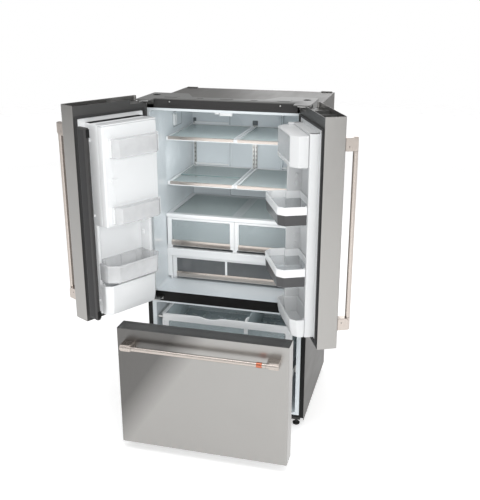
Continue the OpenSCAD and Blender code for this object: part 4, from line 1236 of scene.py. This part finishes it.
        # floor tray, roof and two cheeks around the hollow
        form = Form().stack([(ring(2.5, 2), z0), (ring(0.5), z0 + 3), (ring(0), z0 + 12),
                             (ring(3.6), z0 + 12), (ring(4), z0 + 5)])
        form.stack([(ring(0.6), z1 - 8), (ring(0), z1 - 7), (ring(0), z1 - 3), (ring(1.2), z1 - 1)])
        finish_piece("dairy_shell", form.mesh, RIGHT, "right_door", FINISH["white"],
                     replaces=("dairy_box",))
        form = Form()
        for cheek in ([(57.6, 64), (78, 64), (78, -6), (84, -6), (84, 68), (opening_u0, high.y - 8),
                       (opening_u0, high.y - 0.6), (91.4, high.y - 0.6), (57.6, high.y - 34)],
                      [(374.4, high.y - 34), (340.6, high.y - 0.6), (opening_u1, high.y - 0.6),
                       (opening_u1, high.y - 8), (355, 68), (355, -6), (361, -6), (361, 38), (374.4, 38)]):
            form.stack([(rounded(cheek, 1.4, 2), level) for level in (z0 + 4, z1 - 5)])
        form.block(80, 358, -7, -4, z0 + 4, z1 - 5)
        finish_piece("dairy_cheeks", form.mesh, RIGHT, "right_door", FINISH["white"], 1.4)
        edged("dairy_lid", FINISH["tint"], 0.9)
        form = Form()
        rail = rounded(rectangle(94.5, 334.5, z0 + 12.8, z0 + 22), 2.4)
        form.stack([(rail, 112.4), (rail, 116.4), (inset(rail, 1), 117.4)], "y")
        finish_piece("dairy_lid_rail", form.mesh, RIGHT, "dairy_lid", FINISH["frame"])


class FRIDGE_OT_handles(bpy.types.Operator):
    """Bar handles with their end blocks and the copper ring"""

    bl_idname = "fridge.handles"
    bl_label = "Handles"

    def execute(self, context):
        for side, place in (("left", LEFT), ("right", RIGHT)):
            low, high = local_box(side + "_handle", place)
            upright = Matrix(((0, 0, 1, (low.x + high.x) / 2), (0, 1, 0, 0), (1, 0, 0, 0), (0, 0, 0, 1)))
            self.handle(side + "_handle", place @ upright, side + "_door", (low.z, high.z),
                        (low.y, high.y), FINISH["warm_z"])
        low, high = local_box("freezer_handle", DRAWER)
        level = Matrix.Translation((0, 0, (low.z + high.z) / 2))
        self.handle("freezer_handle", DRAWER @ level, "freezer_drawer", (low.x, high.x),
                    (low.y, high.y), FINISH["warm_x"])
        ring_low, ring_high = local_box("handle_ring", DRAWER)
        centre = (ring_low + ring_high) / 2
        layers = []
        for x, r in ((ring_low.x, 12.3), (ring_low.x, 13.2), (ring_low.x + 1, 14), (ring_high.x - 1, 14),
                     (ring_high.x, 13.2), (ring_high.x, 12.3)):
            layers.append((circle(centre.y, centre.z, r, 40), x))
        form = Form().stack(layers, "x", closed=True)
        finish_piece("copper_ring", form.mesh, DRAWER, "freezer_drawer", FINISH["copper"],
                     replaces=("handle_ring",))
        return {"FINISHED"}

    @staticmethod
    def handle(node, place, body, ends, depth, finish):
        """The bar lies along x; the door's face is at the far end of y."""
        start, end = ends
        axis_y = depth[0] + 12
        form = Form().rod((start, axis_y, 0), (end, axis_y, 0), 11.9, 40, 1.6)
        finish_piece(node + "_bar", form.mesh, place, body, finish, replaces=(node,))
        form = Form()
        for outer, sign in ((start, 1), (end, -1)):
            a, b = sorted((outer + sign * 1.5, outer + sign * 61))
            front = axis_y - 3
            # block: full at the door, drawn in towards the bar
            outline = [(a, front), (b, front), (b, depth[1]), (a, depth[1])]
            chamfer = 11
            if sign > 0:
                outline = [(a, front), (b - chamfer, front), (b, front + chamfer), (b, depth[1]),
                           (a, depth[1])]
            else:
                outline = [(a + chamfer, front), (b, front), (b, depth[1]), (a, depth[1]),
                           (a, front + chamfer)]
            shape = rounded(outline, 2.5, 3)
            form.stack([(inset(shape, 1.6), -18), (shape, -16.4), (shape, 16.4), (inset(shape, 1.6), 18)])
        finish_piece(node + "_blocks", form.mesh, place, body, finish)
        # set screws in the side of the blocks, and a fine joint line round the bar
        form = Form()
        for x in (start + 40, end - 40):
            for lean in (-1, 1):
                hole = circle(x, (axis_y + depth[1]) / 2 + 8, 2.6, 16)
                form.stack([(hole, lean * 17.4), (hole, lean * 18.3)] if lean > 0 else
                           [(hole, -18.3), (hole, -17.4)])
        finish_piece(node + "_set_screws", form.mesh, place, body, FINISH["gap"])
        form = Form()
        for x in (start + 62.4, end - 62.4):
            form.stack([(circle(axis_y, 0, 12.15, 32), x - 0.5), (circle(axis_y, 0, 12.15, 32), x + 0.5)],
                       "x")
        finish_piece(node + "_joint_lines", form.mesh, place, body, FINISH["gap"])


class FRIDGE_OT_freezer(bpy.types.Operator):
    """Freezer drawer, its front, baskets and slides"""

    bl_idname = "fridge.freezer"
    bl_label = "Freezer drawer"

    def execute(self, context):
        # the drawer front's steel carries a painted reflection, a dark corner in its colour
        edged("freezer_skin", FINISH["front"], 0.35)
        self.caps()
        low, high = local_box("freezer_gasket", DRAWER)
        outline = rounded(rectangle(low.x, high.x, low.z, high.z), 7, 4)
        section = [(0.6, low.y), (0, low.y + 2.6), (2.4, low.y + 4.2), (0.8, high.y - 3.2),
                   (1.6, high.y - 0.5), (5.0, high.y), (9.6, high.y - 0.8), (10.8, high.y - 3.4),
                   (9.2, low.y + 4.4), (11.6, low.y + 2.8), (11.6, low.y)]
        finish_piece("freezer_seal", Form().edging(outline, section).mesh, DRAWER, "freezer_drawer",
                     FINISH["gasket"], replaces=("freezer_gasket",))
        edged("freezer_panel", FINISH["white"], 2.4)
        skin_low, skin_high = local_box("freezer_skin", DRAWER)
        panel_low, panel_high = local_box("freezer_panel", DRAWER)
        sheet = Form().band(rectangle(skin_low.x + 2, skin_high.x - 2, skin_low.z + 6, skin_high.z - 6),
                            rectangle(panel_low.x + 2, panel_high.x - 2, panel_low.z + 2, panel_high.z - 2),
                            -13.2, -11.3, "y")
        finish_piece("freezer_back_sheet", sheet.mesh, DRAWER, "freezer_drawer", FINISH["cap"], 0.4)
        self.lower()
        self.upper()
        for node in ("cabinet_slides", "middle_slides", "drawer_slides"):
            edged(node, FINISH["zinc"], 0.8)
        return {"FINISHED"}

    @staticmethod
    def caps():
        """Top and bottom caps: chamfered ends and a shallow trough."""
        low, high = local_box("freezer_caps", DRAWER)
        edged("freezer_caps", FINISH["cap"], 1.6)
        ridge = rounded(rectangle(low.x + 26, high.x - 26, low.y + 18, high.y - 22), 10, 4)
        form = Form().band(ridge, inset(ridge, 3), high.z - 0.6, high.z + 0.9)
        finish_piece("freezer_cap_ridge", form.mesh, DRAWER, "freezer_drawer", FINISH["cap"])

    @staticmethod
    def lower():
        low, high = local_box("lower_basket", DRAWER)
        form = Form().tub(rectangle(low.x, high.x, low.y, high.y), 26, 3.2, low.z, high.z, 6.0, 3.0)
        finish_piece("lower_tub", form.mesh, DRAWER, "freezer_drawer", FINISH["frame"],
                     replaces=("lower_basket",))
        for name, y in (("front", low.y + 2.6), ("rear", high.y - 5.4)):
            face = rounded(rectangle(-322, -314, low.z + 40, high.z - 50), 3.4)
            rib = Form().prism(face, y, y + 2.6, "y")
            repeated("lower_ribs_" + name, rib, DRAWER, "freezer_drawer", FINISH["frame"],
                     17, (39.5, 0, 0))

    @staticmethod
    def upper():
        low, high = local_box("upper_basket", CASE)
        top = high.z - 12
        tub = rectangle(low.x + 8, high.x - 8, low.y + 8, high.y - 8)
        form = Form().tub(tub, 18, 3, low.z, top - 14, 4.0)
        finish_piece("upper_tub", form.mesh, CASE, "upper_basket", FINISH["crisper"],
                     replaces=("upper_basket",))
        # broad white rim with a dip for the hand
        outer = rounded(rectangle(low.x, high.x, low.y, high.y), 22, 6)
        section = [(0.8, top - 40), (0, top - 38), (0, top - 2), (1.4, top), (11, top), (13, top - 2),
                   (13, top - 12), (4, top - 14), (4, top - 40)]
        form = Form()
        rings = []
        for distance, level in section:
            ring = []
            for x, y in inset(outer, distance):
                dip = 0.0
                if y < low.y + 20 and -150 < x < -30 and level > top - 14:
                    t = (x + 90) / 60
                    dip = 11 * (1 - t * t)
                ring.append((x, y, level - dip))
            rings.append(ring)
        # the long front edge needs points of its own to carry the dip
        extra = []
        for ring in rings:
            dense = []
            count = len(ring)
            for i in range(count):
                a, b = Vector(ring[i]), Vector(ring[(i + 1) % count])
                dense.append(tuple(a))
                if (b - a).length > 500 and a.y < low.y + 30:
                    for k in range(1, 60):
                        p = a.lerp(b, k / 60)
                        if -150 < p.x < -30 and p.z > top - 14.5:
                            t = (p.x + 90) / 60
                            p.z -= 11 * (1 - t * t)
                        dense.append(tuple(p))
            extra.append(dense)
        form.loft(extra, closed=True)
        finish_piece("upper_rim", form.mesh, CASE, "upper_basket", FINISH["frame"])
        # frame around the dark window of the front
        form = Form()
        outline = rectangle(low.x + 10, high.x - 10, low.z + 2, top - 38)
        hole = rectangle(low.x + 40, high.x - 40, low.z + 20, top - 42)
        form.band(rounded(outline, 10, 4), rounded(hole, 10, 4), low.y + 5.5, low.y + 8.4, "y")
        for side in (low.x, high.x - 20):
            post = rounded(rectangle(side + 2, side + 18, low.y + 3, low.y + 20), 5)
            form.stack([(post, low.z + 4), (post, top - 36)])
        finish_piece("upper_front_frame", form.mesh, CASE, "upper_basket", FINISH["frame"], 0.8)
        # divider with its white tab
        form = Form()
        leaf = rounded([(low.y + 12, low.z + 4), (high.y - 12, low.z + 4), (high.y - 12, top - 6),
                        (low.y + 30, top + 2), (low.y + 12, top - 4)], 8)
        form.stack([(leaf, 112.2), (leaf, 114.8)], "x")
        finish_piece("divider_leaf", form.mesh, CASE, "upper_basket", FINISH["crisper"])
        form = Form()
        tab = rounded([(low.y + 8, top - 8), (low.y + 60, top - 8), (low.y + 70, top + 4),
                       (low.y + 30, top + 12), (low.y + 10, top + 10)], 6)
        form.stack([(inset(tab, 1.2), 108), (tab, 109.5), (tab, 117.5), (inset(tab, 1.2), 119)], "x")
        tail = rounded(rectangle(low.y + 5, low.y + 12, top - 74, top - 38), 3)
        form.stack([(tail, 103), (tail, 124)], "x")
        finish_piece("divider_tab", form.mesh, CASE, "upper_basket", FINISH["frame"])


STEPS = (FRIDGE_OT_stage, FRIDGE_OT_case, FRIDGE_OT_liners, FRIDGE_OT_shelves, FRIDGE_OT_crispers,
         FRIDGE_OT_doors, FRIDGE_OT_ice, FRIDGE_OT_bins, FRIDGE_OT_handles, FRIDGE_OT_freezer)


class FRIDGE_PT_panel(bpy.types.Panel):
    """Lists the colours, sizes and steps"""

    bl_label = "Refrigerator"
    bl_idname = "FRIDGE_PT_panel"
    bl_space_type = "VIEW_3D"
    bl_region_type = "UI"
    bl_category = "Refrigerator"

    def draw(self, context):
        for group in (context.scene.fridge_colours, context.scene.fridge_sizes):
            column = self.layout.column(align=True)
            for key in group.__annotations__:
                column.prop(group, key)
        for step in STEPS:
            self.layout.operator(step.bl_idname)


CLASSES = (FridgeColours, FridgeSizes, *STEPS, FRIDGE_PT_panel)


def register():
    for cls in CLASSES:
        bpy.utils.register_class(cls)
    bpy.types.Scene.fridge_colours = bpy.props.PointerProperty(type=FridgeColours)
    bpy.types.Scene.fridge_sizes = bpy.props.PointerProperty(type=FridgeSizes)


def unregister():
    del bpy.types.Scene.fridge_sizes
    del bpy.types.Scene.fridge_colours
    for cls in reversed(CLASSES):
        bpy.utils.unregister_class(cls)


def main():
    register()
    for step in STEPS:
        group, name = step.bl_idname.split(".")
        getattr(getattr(bpy.ops, group), name)()


if __name__ == "__main__":
    main()
